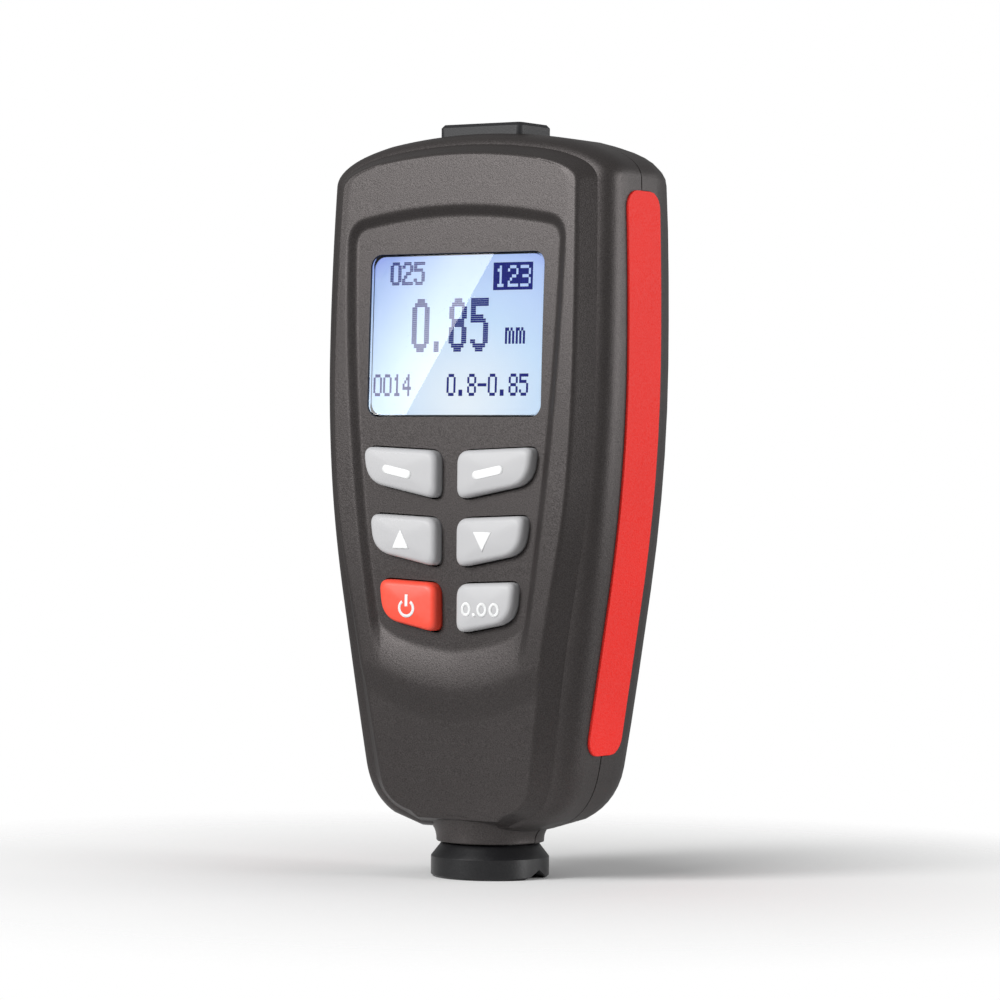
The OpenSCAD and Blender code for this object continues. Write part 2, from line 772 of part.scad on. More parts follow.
module display_window() {
    color([0.75, 0.85, 0.95]) at_display() plate(window_w, window_h, window_r, 0, window_t);
}
module window_gasket() {
    color(black) at_display() frame_plate(window_w, window_h, window_r, window_t, gasket_t, gasket_w);
}
module lcd_glass() {
    color([0.6, 0.75, 0.85]) at_display() plate(glass_w, glass_h, glass_r, glass_y, glass_t);
}
module backlight() {
    color("white") at_display()
        plate(glass_w, glass_h - 2 * strip_h, glass_r, glass_y + glass_t, backlight_t);
}
module lcd_frame() {
    color([0.85, 0.85, 0.82]) at_display() difference() {
        plate(glass_w + 2 * frame_wall, glass_h + 2 * frame_wall, frame_r, glass_y, frame_t);
        plate(glass_w + 2 * lay, glass_h + 2 * lay, glass_r, glass_y - cut, cut + glass_t + backlight_t);
        translate([-glass_w / 2 - lay, glass_y, -glass_h / 2 - lay])
            cube([glass_w + 2 * lay, body_d, strip_h + 2 * lay]);
    }
}
module contact_strip() {
    color(key_grey) at_display() translate([-glass_w / 2, glass_y + glass_t, -glass_h / 2])
        cube([glass_w, board_gap - glass_y - glass_t, strip_h]);
}

// Main board: an outline with a tongue that carries the socket
module board_outline() {
    board_left = [for (i = [len(board_right) - 1:-1:0]) [-board_right[i][0], board_right[i][1]]];
    polygon(concat(board_right, board_left));
}
module slab(y, t) {
    translate([0, y + t, 0]) rotate([90, 0, 0]) linear_extrude(t) children();
}
module main_board() {
    color(board_green) difference() {
        slab(-board_y, board_t) board_outline();
        at_posts(board_posts) rod_y(shank_r + lay, -board_y - cut, 0);
    }
}
module on_board(x, z) {
    translate([x, board_t - board_y, z]) children();
}
module controller_chip() {
    color(black) on_board(chip_x, chip_z) plate(chip_w, chip_w, glass_r, 0, chip_t);
}
module clock_crystal() {
    color(metal) on_board(-chip_x, chip_z) plate(can_w, can_l, can_w / 2 - lay, 0, chip_t);
}
module beeper() {
    color(black) on_board(0, beeper_z) difference() {
        rod_y(beeper_r, 0, beeper_h);
        rod_y(beeper_hole_r, beeper_h - cut, beeper_h + cut);
    }
}

module mat_outline(grow) {
    offset(delta = grow) polygon([[-mat_top_w, key_rows[0] + mat_rim], [mat_top_w, key_rows[0] + mat_rim],
        [mat_low_w, key_rows[2] - key_h - mat_rim], [-mat_low_w, key_rows[2] - key_h - mat_rim]]);
}
module keypad_mat() {
    color(key_grey) difference() {
        slab(-(mat_y + mat_t), mat_t + dome_h + lay) mat_outline(0);
        slab(-mat_y, mat_t) mat_outline(-mat_rim);
    }
}
module switch_domes() {
    color(metal) for (row = [0:2]) mirror_x() translate([key_mid(row)[0], -board_y, key_mid(row)[1]])
        rotate([90, 0, 0]) cylinder(r1 = dome_r, r2 = dome_r / 2, h = dome_h, $fn = medium);
}
module left_soft_key() {
    color(key_grey) mirror([1, 0, 0]) key_shape(0);
}
module right_soft_key() {
    color(key_grey) key_shape(0);
}
module up_key() {
    color(key_grey) mirror([1, 0, 0]) key_shape(1);
}
module down_key() {
    color(key_grey) key_shape(1);
}
module power_key() {
    color(red) mirror([1, 0, 0]) key_shape(2);
}
module zero_key() {
    color(key_grey) key_shape(2);
}

// Probe: turned parts about Z
module probe_sleeve() {
    mouth = nose_r + slide;
    color(black) difference() {
        rotate_extrude($fn = fine) polygon([[mouth, 0], [sleeve_r - sleeve_edge, 0],
            [sleeve_r, sleeve_edge], [sleeve_r, sleeve_rim], [sleeve_top_r, sleeve_h],
            [stem_r, sleeve_h], [stem_r, flange_z],
            [flange_r, flange_z], [flange_r, flange_z + flange_t], [stem_r, flange_z + flange_t],
            [stem_r, stem_end], [sleeve_bore, stem_end], [sleeve_bore, sleeve_floor],
            [mouth, sleeve_floor]]);
        rotate([90, 0, 90]) linear_extrude(3 * sleeve_r, center = true)
            polygon([[0, groove_d], [groove_w, -groove_d], [-groove_w, -groove_d]]);
    }
}
module probe_tip() {
    color(metal) rotate_extrude($fn = fine) polygon([[0, tip_z], [nose_r - nose_edge, tip_z],
        [nose_r, tip_z + nose_edge],
        [nose_r, barrel_z], [barrel_r, barrel_z], [barrel_r, barrel_top], [bobbin_r + lay, barrel_top],
        [bobbin_r + lay, bobbin_z], [0, bobbin_z]]);
}
module coil_bobbin() {
    color([0.9, 0.88, 0.8]) rotate_extrude($fn = fine) polygon([
        [core_r + lay, bobbin_z], [bobbin_r, bobbin_z],
        [bobbin_r, bobbin_z + bobbin_rim], [hub_r, bobbin_z + bobbin_rim], [hub_r, barrel_top - bobbin_rim],
        [bobbin_r, barrel_top - bobbin_rim], [bobbin_r, barrel_top], [core_r + lay, barrel_top]]);
}
module coil_winding() {
    color([0.72, 0.4, 0.2]) translate([0, 0, bobbin_z + bobbin_rim]) rotate_extrude($fn = fine)
        translate([hub_r, 0]) square([bobbin_r - hub_r - 2 * lay, barrel_top - bobbin_z - 2 * bobbin_rim]);
}
module ferrite_core() {
    color([0.3, 0.3, 0.32]) translate([0, 0, bobbin_z])
        cylinder(r = core_r, h = barrel_top - bobbin_z, $fn = medium);
}
module probe_spring() {
    color(metal) coil(barrel_r - spring_wire, barrel_r - spring_wire, spring_wire,
        barrel_top + spring_wire / 2 + lay / 2, stem_end - plug_t - spring_wire / 2 - lay / 2, 4);
}
module probe_plug() {
    color(black) translate([0, 0, stem_end - plug_t]) difference() {
        cylinder(r = sleeve_bore - lay / 2, h = plug_t, $fn = fine);
        translate([0, 0, -cut]) cylinder(r = core_r, h = plug_t + 2 * cut, $fn = medium);
    }
}

module port_cover() {
    edge = 0.5;
    color(black) translate([0, socket_y, 0]) {
        hull() {
            translate([0, 0, port_seat]) linear_extrude(port_top - port_seat - edge)
                rounded(port_w, port_d, port_r);
            translate([0, 0, port_seat]) linear_extrude(port_top - port_seat)
                rounded(port_w - 2 * edge, port_d - 2 * edge, port_r - edge);
        }
        translate([0, 0, socket_top + slide]) linear_extrude(port_seat - socket_top)
            rounded(port_plug_w, port_plug_d, plug_r);
    }
}
module data_socket() {
    shell = 0.4;
    corner_r = 0.6;
    tongue = [socket_w - 3, 0.8];
    color(metal) translate([0, socket_y, socket_top - socket_l]) difference() {
        linear_extrude(socket_l) rounded(socket_w, socket_d, corner_r);
        translate([0, 0, 3 * shell]) linear_extrude(socket_l) difference() {
            rounded(socket_w - 2 * shell, socket_d - 2 * shell, corner_r / 2);
            square(tongue, center = true);
        }
    }
}

// Battery bay
module at_door_tabs() {
    mirror_x() translate([tab_x, back_d - door_t, bay_z + door_l / 2]) children();
}
module tab_pocket() {
    translate([-tab_w / 2 - fit, -2 * wall, -door_rim])
        cube([tab_w + 2 * fit, 2 * wall + tab_t + fit, door_rim + tab_l + 2 * fit]);
}
// Door outline: rounded below, square at the hinge
module door_panel(grow, y, t) {
    plate(door_w + 2 * grow, door_l + 2 * grow, door_r + grow, y, t, bay_z);
    translate([-door_w / 2 - grow, y, bay_z]) cube([door_w + 2 * grow, t, door_l / 2 + grow]);
}
// What the rolled upper edge of the door leaves out of a square edge
module hinge_relief() {
    translate([0, back_d - hinge_r, bay_z + door_l / 2 - hinge_r]) difference() {
        translate([-door_w / 2 - cut, -door_t, 0]) cube([door_w + 2 * cut, 2 * door_t, hinge_r + cut]);
        rotate([0, 90, 0]) cylinder(r = hinge_r, h = door_w + 4 * cut, center = true, $fn = medium);
    }
}
module battery_door() {
    color(charcoal) {
        difference() {
            door_panel(0, back_d - door_t, door_t);
            hinge_relief();
            for (i = [0:thumb_count - 1])
                translate([-thumb_w / 2, back_d - thumb_d, bay_z - door_l / 2 + thumb_z + thumb_pitch * i])
                    cube([thumb_w, cut, thumb_pitch / 2]);
        }
        at_door_tabs() translate([-tab_w / 2, 0, -tab_l]) cube([tab_w, tab_t, 2 * tab_l]);
    }
}
module cell() {
    r = cell_d / 2;
    rotate_extrude($fn = fine) polygon([[0, 0], [r - cell_edge, 0], [r, cell_edge], [r, cell_l - cell_edge],
        [r - cell_edge, cell_l], [button_r, cell_l], [button_r, cell_l + cell_button],
        [0, cell_l + cell_button]]);
}
// Frame of a cell: its button end lies at the bay's end
module at_left_cell() {
    translate([-cell_x, cell_y, bay_z + bay_l / 2 - pole_t - lay - cell_l - cell_button]) children();
}
module at_right_cell() {
    translate([cell_x, cell_y, bay_z - bay_l / 2 + pole_t + lay + cell_l + cell_button])
        rotate([180, 0, 0]) children();
}
module left_cell() {
    color([0.25, 0.3, 0.4]) at_left_cell() cell();
}
module right_cell() {
    color([0.25, 0.3, 0.4]) at_right_cell() cell();
}
module cell_spring() {
    room = bay_l - 2 * pole_t - lay - cell_l - cell_button;
    end = lay + cell_wire / 2;
    coil(cell_coil_r, 2 * cell_coil_r, cell_wire, -end, end - room, 3);
}
module battery_springs() {
    color(metal) {
        at_left_cell() cell_spring();
        at_right_cell() cell_spring();
    }
}
module battery_plates() {
    color(metal) for (x = [-cell_x, cell_x], end = [-1, 1])
        translate([x - pole_w / 2, cell_y - pole_w / 2, bay_z + end * (bay_l - pole_t) / 2 - pole_t / 2])
            cube([pole_w, pole_w, pole_t]);
}

// Fasteners
module case_screws() {
    color(metal) at_posts(case_posts) {
        rod_y(shank_r, -screw_reach, head_y + head_h / 2);
        difference() {
            rod_y(head_r, head_y, head_y + head_h);
            cross_slot(head_y + head_h);
        }
    }
}
module board_screws() {
    top = board_t - board_y;
    color(metal) at_posts(board_posts) {
        rod_y(shank_r, -board_y - board_screw_l, top + board_head_h / 2);
        difference() {
            rod_y(board_head_r, top, top + board_head_h);
            cross_slot(top + board_head_h);
        }
    }
}
module cross_slot(y) {
    for (a = [0, 90]) rotate([0, a, 0]) translate([-slot_l / 2, y - slot_w, -slot_w / 2])
        cube([slot_l, cut, slot_w]);
}

front_cover();
rear_cover();
left_grip();
right_grip();
display_window();
window_gasket();
lcd_glass();
backlight();
lcd_frame();
contact_strip();
main_board();
controller_chip();
clock_crystal();
beeper();
keypad_mat();
switch_domes();
left_soft_key();
right_soft_key();
up_key();
down_key();
power_key();
zero_key();
probe_sleeve();
probe_tip();
coil_bobbin();
coil_winding();
ferrite_core();
probe_spring();
probe_plug();
port_cover();
data_socket();
battery_door();
left_cell();
right_cell();
battery_springs();
battery_plates();
case_screws();
board_screws();
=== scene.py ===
"""Looks of a hand-held coating thickness gauge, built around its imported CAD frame.

Lengths in the formulas are millimetres in the CAD frame: X right, -Y front, Z up.
"""
import math

import bmesh
import bpy
import numpy as np
from mathutils import Matrix, Vector


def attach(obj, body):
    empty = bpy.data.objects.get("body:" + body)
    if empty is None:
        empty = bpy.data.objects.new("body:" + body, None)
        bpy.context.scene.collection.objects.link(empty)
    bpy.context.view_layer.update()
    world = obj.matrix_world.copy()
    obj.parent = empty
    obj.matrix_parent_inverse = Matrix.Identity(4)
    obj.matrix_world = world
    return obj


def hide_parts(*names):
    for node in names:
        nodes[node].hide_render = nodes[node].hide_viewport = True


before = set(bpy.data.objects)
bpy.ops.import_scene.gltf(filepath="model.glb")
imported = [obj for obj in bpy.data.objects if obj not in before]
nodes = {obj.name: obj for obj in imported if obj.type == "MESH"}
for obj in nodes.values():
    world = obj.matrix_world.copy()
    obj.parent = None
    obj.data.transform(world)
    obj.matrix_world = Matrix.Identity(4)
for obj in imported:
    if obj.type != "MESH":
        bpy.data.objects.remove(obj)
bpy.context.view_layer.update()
MM = 0.001

# Housing form, after the driving sizes of the CAD model
HALF_W = 26.5
BODY_TOP = 112.0
WIDEST_Z = 78.5
SIDE_TAPER = math.tan(math.radians(9))
TAPER_BLEND = 36.0
TOP_NARROW = 0.9
TOP_R = 92.0
FACE_TOP_R = 88.0
SEAM_BAND = 4.2
FACE_D = 12.0
BELLY_Z = 55.0
FACE_R_UP = 880.0
FACE_R_DOWN = 480.0
FACE_INSET = 4.6
LOWER_INSET = 5.6
INSET_LOW_Z = 34.0
INSET_BLEND = 26.0
FACE_TOP = 108.8
CORNER_W = 10.0
CORNER_H = 7.4
FACE_CORNER_SLIM = 3.2
FACE_CORNER_LOW = 2.2
LOW_Z = 17.3
FACE_LOW_Z = 14.7
FOOT_X = 14.6
FOOT_Z = 9.1
FACE_FOOT_X = 8.6
FACE_FOOT_Z = 10.0
FOOT_LEAN = 0.12
FOOT_FULLNESS = 0.45
FOOT_SLIM = 0.5
FOOT_ROUND_Z = 17.0
FOOT_FALL = 0.3
NECK_R = 8.15
NECK_Z = 7.4
FACE_NECK_Z = 9.0
NECK_FOOT = 0.9
FACE_NECK_IN = 1.4
SHOULDER = 0.6
SHOULDER_Y = 0.77
BACK_D = 13.25
APRON_STEP = 0.5
APRON_Z = 28.3
APRON_BLEND = 5.0
APRON_SHARE = 0.95
SAG_RISE = 5.0
RAMP_GAP = 0.4
RAMP_CURVE = 1.5
STEP_ROUNDING = 0.3
PANEL_DEPTH = 0.8
PANEL_RIM = 1.4
PANEL_TOP_W = 18.4
PANEL_LOW_W = 13.2
PANEL_TOP = 99.4
PANEL_LOW = 34.2
PANEL_ARCH_R = 85.0
PANEL_CORNER_W = 2.0
PANEL_CORNER_H = 4.2
PANEL_CORNER_Z = 1.9
PANEL_SWELL = 0.4
PANEL_SAG = 4.2
PANEL_SAG_W = 2.0
PANEL_SAG_H = 3.2
PANEL_SIDE_TOP = PANEL_TOP - PANEL_CORNER_H
PANEL_SIDE_LOW = PANEL_LOW + PANEL_SAG
ARCH_STEPS = 12
CORNER_STEPS = 10
SIDE_STEPS = 16
SAG_STEPS = 16
MERGE = 0.002

# Keys
KEY_ROWS = (64.8, 54.7, 44.9)
KEY_OUTER = (15.4, 14.1, 12.4)
KEY_INNER = 1.8
KEY_H = 7.9
KEY_SLOPE = math.tan(math.radians(11))
KEY_TOP_SLOPE = math.tan(math.radians(2.5))
KEY_LEAN = 0.7
KEY_ROUND = (2.0, 1.7, 3.0, 1.8)
KEY_SOFT = 1.0
KEY_DOME = 0.22
KEY_SKIRT = 3.4
KEY_SHARP = 40
KEY_EDGE_ANGLES = np.radians(np.linspace(15, 75, 5))
CROWN_SHARES = (1.0, 0.85, 0.65, 0.45, 0.25, 0.1)
PRINT_LIFT = 0.025
PRINT_FACET = 0.6
PRINT_CUTS = 4
INK_COAT = 0.02
FIT = 0.25
CUT_ABOVE = 2.0
KEY_HOLE_DEPTH = 2.6

# Display
WINDOW_W = 31.0
WINDOW_H = 24.0
WINDOW_Z = 81.5
WINDOW_R = 1.6
POCKET_DEPTH = 4.0
LAY = 0.1
FILM_Y = 0.96
FILM_T = 0.02
FILM_MARGIN = 0.08
FILM_ROUND = 0.3
FILM_SHARP = 30
INK_Y = 0.93


def lerp(a, b, t):
    return a + (b - a) * t


def smooth(t):
    u = np.clip(t, 0.0, 1.0)
    return u * u * (3 - 2 * u)


def bezier(a, c, b, t):
    t = np.asarray(t)[:, None]
    return (1 - t) ** 2 * np.array(a) + 2 * t * (1 - t) * np.array(c) + t ** 2 * np.array(b)


def side_w(z):
    """Half width of the housing at the seam."""
    lift = np.maximum(0, z - WIDEST_Z) / (BODY_TOP - WIDEST_Z)
    down = np.maximum(0, WIDEST_Z - z)
    blend = np.minimum(down, TAPER_BLEND)
    taper = blend * blend / (2 * TAPER_BLEND) + np.maximum(0, down - TAPER_BLEND)
    return HALF_W - TOP_NARROW * lift * lift - SIDE_TAPER * taper


def face_y(z):
    """Distance of the raised face from the seam."""
    z = np.asarray(z, float)
    radius = np.where(z > BELLY_Z, FACE_R_UP, FACE_R_DOWN)
    foot = np.maximum(0, FOOT_ROUND_Z - z) / (FOOT_ROUND_Z - FOOT_Z)
    return FACE_D - (z - BELLY_Z) ** 2 / (2 * radius) - FOOT_FALL * foot * foot


def inset(z):
    return lerp(LOWER_INSET, FACE_INSET, smooth((z - INSET_LOW_Z) / INSET_BLEND))


def half_outline(t, counts):
    """Right half of the housing outline at inset share t, from the top's middle to the foot's middle."""
    n_top, n_corner, n_side, n_low, n_end = counts
    zt = lerp(BODY_TOP, FACE_TOP, t)
    rt = lerp(TOP_R, FACE_TOP_R, t)
    zb = zt - CORNER_H + FACE_CORNER_LOW * t
    xb = side_w(zb) - t * inset(zb)
    xa = xb - CORNER_W + FACE_CORNER_SLIM * t
    x = xa * np.arange(n_top) / n_top
    top = np.stack([x, zt - x * x / (2 * rt)], 1)
    corner = bezier((xa, zt - xa * xa / (2 * rt)), (xb, zt - xb * xb / (2 * rt)), (xb, zb),
                    np.arange(n_corner + 1) / n_corner)
    za = lerp(LOW_Z, FACE_LOW_Z, t)
    z = zb + (za - zb) * np.arange(1, n_side + 1) / n_side
    side = np.stack([side_w(z) - t * inset(z), z], 1)
    a = (side_w(za) - t * inset(za), za)
    b = (lerp(FOOT_X, FACE_FOOT_X, t), lerp(FOOT_Z, FACE_FOOT_Z, t))
    neck = lerp(NECK_Z, FACE_NECK_Z, t)
    c = (a[0] - FOOT_LEAN * (a[1] - b[1]), b[1] + FOOT_FULLNESS * (a[0] - b[0]) * (1 - FOOT_SLIM * t))
    low = bezier(a, c, b, np.arange(1, n_low + 1) / n_low)
    x_end = lerp(NECK_R + NECK_FOOT, FACE_FOOT_X - FACE_NECK_IN, t)
    share = np.arange(n_end + 1) / n_end
    end = np.stack([x_end * (1 - share), np.full_like(share, neck)], 1)
    return np.concatenate([top, corner, side, low, end])


def panel_side(u):
    """Half width of the panel at a share of the way down its side."""
    swell = PANEL_TOP_W - PANEL_SWELL
    return (1 - u) ** 2 * PANEL_TOP_W + 2 * u * (1 - u) * swell + u * u * PANEL_LOW_W


def panel_outline():
    """Right half of the sunken panel's outline, from the top's middle to the bottom's middle."""
    wc = PANEL_TOP_W - PANEL_CORNER_W
    x = wc * np.arange(ARCH_STEPS) / ARCH_STEPS
    top = np.stack([x, PANEL_TOP - x * x / (2 * PANEL_ARCH_R)], 1)
    corner = bezier((wc, PANEL_TOP - wc * wc / (2 * PANEL_ARCH_R)), (PANEL_TOP_W, PANEL_TOP - PANEL_CORNER_Z),
                    (PANEL_TOP_W, PANEL_SIDE_TOP), np.linspace(0, 1, CORNER_STEPS))
    u = np.linspace(0, 1, SIDE_STEPS)[1:]
    side = np.stack([panel_side(u), lerp(PANEL_SIDE_TOP, PANEL_SIDE_LOW, u)], 1)
    sag = bezier((PANEL_LOW_W, PANEL_SIDE_LOW), (PANEL_LOW_W - PANEL_SAG_W, PANEL_SIDE_LOW - PANEL_SAG_H),
                 (0, PANEL_LOW), np.linspace(0, 1, SAG_STEPS)[1:])
    return np.concatenate([top, corner, side, sag])


def signed_distance(points, half):
    """Distance of points to a mirrored outline, negative inside; points are folded to the right half."""
    p = np.stack([np.abs(points[:, 0]), points[:, 1]], 1)
    best = np.full(len(p), 1e9)
    inside = np.zeros(len(p), bool)
    for a, b in zip(half[:-1], half[1:]):
        d = b - a
        u = np.clip(((p - a) @ d) / max(d @ d, 1e-12), 0, 1)
        best = np.minimum(best, np.linalg.norm(p - a - u[:, None] * d, axis=1))
        crosses = (a[1] > p[:, 1]) != (b[1] > p[:, 1])
        x_at = a[0] + (p[:, 1] - a[1]) / (b[1] - a[1] if b[1] != a[1] else 1) * d[0]
        inside ^= crosses & (p[:, 0] < x_at)
    return np.where(inside, -best, best)


def sag_line(x):
    """Height of the raised face's lower edge."""
    z_end = APRON_Z + SAG_RISE
    x_end = float(side_w(z_end) - inset(z_end))
    return APRON_Z + SAG_RISE * (x / x_end) ** 2


def panel_floor(x):
    """Height of the panel's lower edge."""
    sag = panel_outline()[-SAG_STEPS:][::-1]
    return np.interp(np.abs(x), sag[:, 0], sag[:, 1])


def panel_half(z):
    """Half width of the lower part of the panel, running on below its corner."""
    drop = PANEL_SIDE_TOP - PANEL_SIDE_LOW
    u = np.clip((PANEL_SIDE_TOP - z) / drop, 0, 1)
    narrowing = PANEL_TOP_W - PANEL_SWELL - PANEL_LOW_W
    return panel_side(u) - np.maximum(PANEL_SIDE_LOW - z, 0) * 2 * narrowing / drop


def soft_step(u):
    """0 to 1 with a straight middle and rounded ends."""
    return STEP_ROUNDING * smooth(u) + (1 - STEP_ROUNDING) * np.clip(u, 0, 1)


def face_point_y(x, z):
    """Front surface at x, z: raised face, its sunken panel with the long lower ramp, and the apron."""
    shape = np.shape(x)
    d = signed_distance(np.stack([np.ravel(x), np.ravel(z)], 1), panel_outline()).reshape(shape)
    edge = sag_line(x)
    ramp = np.clip((z - edge - RAMP_GAP) / (panel_floor(x) - edge - RAMP_GAP), 0, 1)
    lower = soft_step(1 - (np.abs(x) - panel_half(z)) / PANEL_RIM) * ramp ** RAMP_CURVE
    share = np.where(z > BELLY_Z, soft_step(1 - d / PANEL_RIM), lower)
    raised = smooth((z - edge) / APRON_BLEND + APRON_SHARE)
    return -(face_y(z) - APRON_STEP * (1 - raised) - PANEL_DEPTH * share)


def add_mesh(name, verts, faces, body, material, sharp=None):
    """New piece from points in millimetres, riding on a body."""
    mesh = bpy.data.meshes.new(name)
    mesh.from_pydata([Vector(v) * MM for v in verts], [], faces)
    piece = bpy.data.objects.new(name, mesh)
    bpy.context.scene.collection.objects.link(piece)
    finish_piece(piece, material, sharp)
    if body:
        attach(piece, body)
    return piece


def finish_piece(piece, material, sharp=None):
    mesh = piece.data
    mesh.validate()
    mesh.polygons.foreach_set("use_smooth", [True] * len(mesh.polygons))
    if sharp is not None:
        mesh.set_sharp_from_angle(angle=math.radians(sharp))
    if material:
        mesh.materials.clear()
        mesh.materials.append(material)


def face_outward(mesh):
    bm = bmesh.new()
    bm.from_mesh(mesh)
    bmesh.ops.recalc_face_normals(bm, faces=bm.faces)
    bm.to_mesh(mesh)
    bm.free()


def loop_rows(rings):
    """Faces between consecutive closed rings of equal count."""
    n = len(rings[0])
    faces = []
    for k in range(len(rings) - 1):
        for i in range(n):
            j = (i + 1) % n
            faces.append((k * n + i, k * n + j, (k + 1) * n + j, (k + 1) * n + i))
    return faces


def apply_modifiers(piece):
    deps = bpy.context.evaluated_depsgraph_get()
    mesh = bpy.data.meshes.new_from_object(piece.evaluated_get(deps))
    piece.modifiers.clear()
    piece.data = mesh


# Materials

TONE_PATCH = 18.0
ROUGHNESS_SPREAD = 0.06
METAL_GRAIN = 0.4
METAL_SPREAD = 0.2
GLASS_PATCH = 3.0
GLOW_PLACE = (0.55, 0.5, 0.05)
GLOW_SIZE = (1.0, 4.0, 1.12)


def new_material(name):
    material = bpy.data.materials.new(name)
    material.use_nodes = True
    tree = material.node_tree
    shader = tree.nodes["Principled BSDF"]
    return material, tree, shader


def add_noise(tree, scale, detail=3.0):
    coords = tree.nodes.new("ShaderNodeTexCoord")
    noise = tree.nodes.new("ShaderNodeTexNoise")
    noise.inputs["Scale"].default_value = scale
    noise.inputs["Detail"].default_value = detail
    tree.links.new(coords.outputs["Object"], noise.inputs["Vector"])
    return noise


def add_ramp(tree, source, stops):
    ramp = tree.nodes.new("ShaderNodeValToRGB")
    elements = ramp.color_ramp.elements
    while len(elements) < len(stops):
        elements.new(0.5)
    for element, (place, colour) in zip(elements, stops):
        element.position = place
        element.color = (*colour, 1.0)
    tree.links.new(source, ramp.inputs["Fac"])
    return ramp


def vary(tree, noise, socket, low, high, reach=0.2):
    """Let a noise carry a socket from a low colour to a high one, about its own middle."""
    ramp = add_ramp(tree, noise.outputs["Fac"], [(0.5 - reach, low), (0.5 + reach, high)])
    tree.links.new(ramp.outputs["Color"], socket)


def grey(value):
    return (value, value, value)


def moulded(name, colour, roughness, grain_mm, grain_height, tone=0.12, specular=0.5, sheen=(1, 1, 1),
            speck=0.1):
    """Grained plastic or rubber: fine bump, slight tone, gloss and roughness variation."""
    material, tree, shader = new_material(name)
    grain = add_noise(tree, 1 / (grain_mm * MM), 2.0)
    patches = add_noise(tree, 1 / (TONE_PATCH * MM), 4.0)
    dark = tuple(c * (1 - tone) for c in colour)
    light = tuple(min(1, c * (1 + tone)) for c in colour)
    vary(tree, patches, shader.inputs["Base Color"], dark, light)
    vary(tree, grain, shader.inputs["Roughness"], grey(roughness - ROUGHNESS_SPREAD),
         grey(roughness + ROUGHNESS_SPREAD), 0.3)
    vary(tree, grain, shader.inputs["Specular IOR Level"], grey(specular * (1 - speck)),
         grey(specular * (1 + speck)))
    bump = tree.nodes.new("ShaderNodeBump")
    bump.inputs["Strength"].default_value = 1.0
    bump.inputs["Distance"].default_value = grain_height * MM
    tree.links.new(grain.outputs["Fac"], bump.inputs["Height"])
    tree.links.new(bump.outputs["Normal"], shader.inputs["Normal"])
    shader.inputs["Specular Tint"].default_value = (*sheen, 1.0)
    return material


def metal(name, colour, roughness):
    material, tree, shader = new_material(name)
    noise = add_noise(tree, 1 / (METAL_GRAIN * MM), 3.0)
    vary(tree, noise, shader.inputs["Roughness"], grey(roughness * (1 - METAL_SPREAD)),
         grey(roughness * (1 + METAL_SPREAD)))
    shader.inputs["Base Color"].default_value = (*colour, 1.0)
    shader.inputs["Metallic"].default_value = 1.0
    return material


# Name, colour, roughness, grain and its height in millimetres, then how far the tone varies
charcoal = moulded("charcoal_plastic", (0.027, 0.024, 0.0235), 0.42, 0.17, 0.022, sheen=(1.0, 0.92, 0.91),
                   speck=0.45)
grip_red = moulded("grip_red", (0.86, 0.021, 0.013), 0.6, 0.24, 0.07, 0.04, specular=0.35, speck=0.6)
key_grey = moulded("key_grey", (0.51, 0.51, 0.52), 0.5, 0.5, 0.004, 0.02)
key_red = moulded("key_red", (1.0, 0.085, 0.048), 0.45, 0.5, 0.004, 0.02)
black_satin = moulded("black_satin", (0.008, 0.008, 0.009), 0.36, 0.25, 0.012, specular=0.4)
black_rubber = moulded("black_rubber", (0.013, 0.013, 0.015), 0.55, 0.25, 0.015)
print_white = moulded("print_white", (0.86, 0.87, 0.87), 0.5, 0.3, 0.002, 0.02)
white_plastic = moulded("white_plastic", (0.78, 0.79, 0.79), 0.5, 0.4, 0.005, 0.03)
grey_rubber = moulded("grey_rubber", (0.35, 0.35, 0.37), 0.6, 0.4, 0.01)
board_resist = moulded("board_resist", (0.02, 0.15, 0.07), 0.35, 0.6, 0.004)
bobbin_plastic = moulded("bobbin_plastic", (0.72, 0.69, 0.6), 0.5, 0.4, 0.005)
ferrite = moulded("ferrite", (0.05, 0.05, 0.055), 0.6, 0.2, 0.02)
cell_sleeve = moulded("cell_sleeve", (0.04, 0.06, 0.1), 0.35, 0.5, 0.003)
plated_steel = metal("plated_steel", (0.62, 0.62, 0.63), 0.28)
copper = metal("enamelled_copper", (0.72, 0.34, 0.16), 0.35)
lcd_ink = moulded("lcd_ink", (0.006, 0.008, 0.07), 0.5, 0.2, 0.001, specular=0.1)
ink_sockets = lcd_ink.node_tree.nodes["Principled BSDF"].inputs
ink_sockets["Emission Color"].default_value = (0.01, 0.016, 0.16, 1)
ink_sockets["Emission Strength"].default_value = 1.0
dark_glass = moulded("dark_glass", (0.03, 0.035, 0.04), 0.15, 0.6, 0.001)


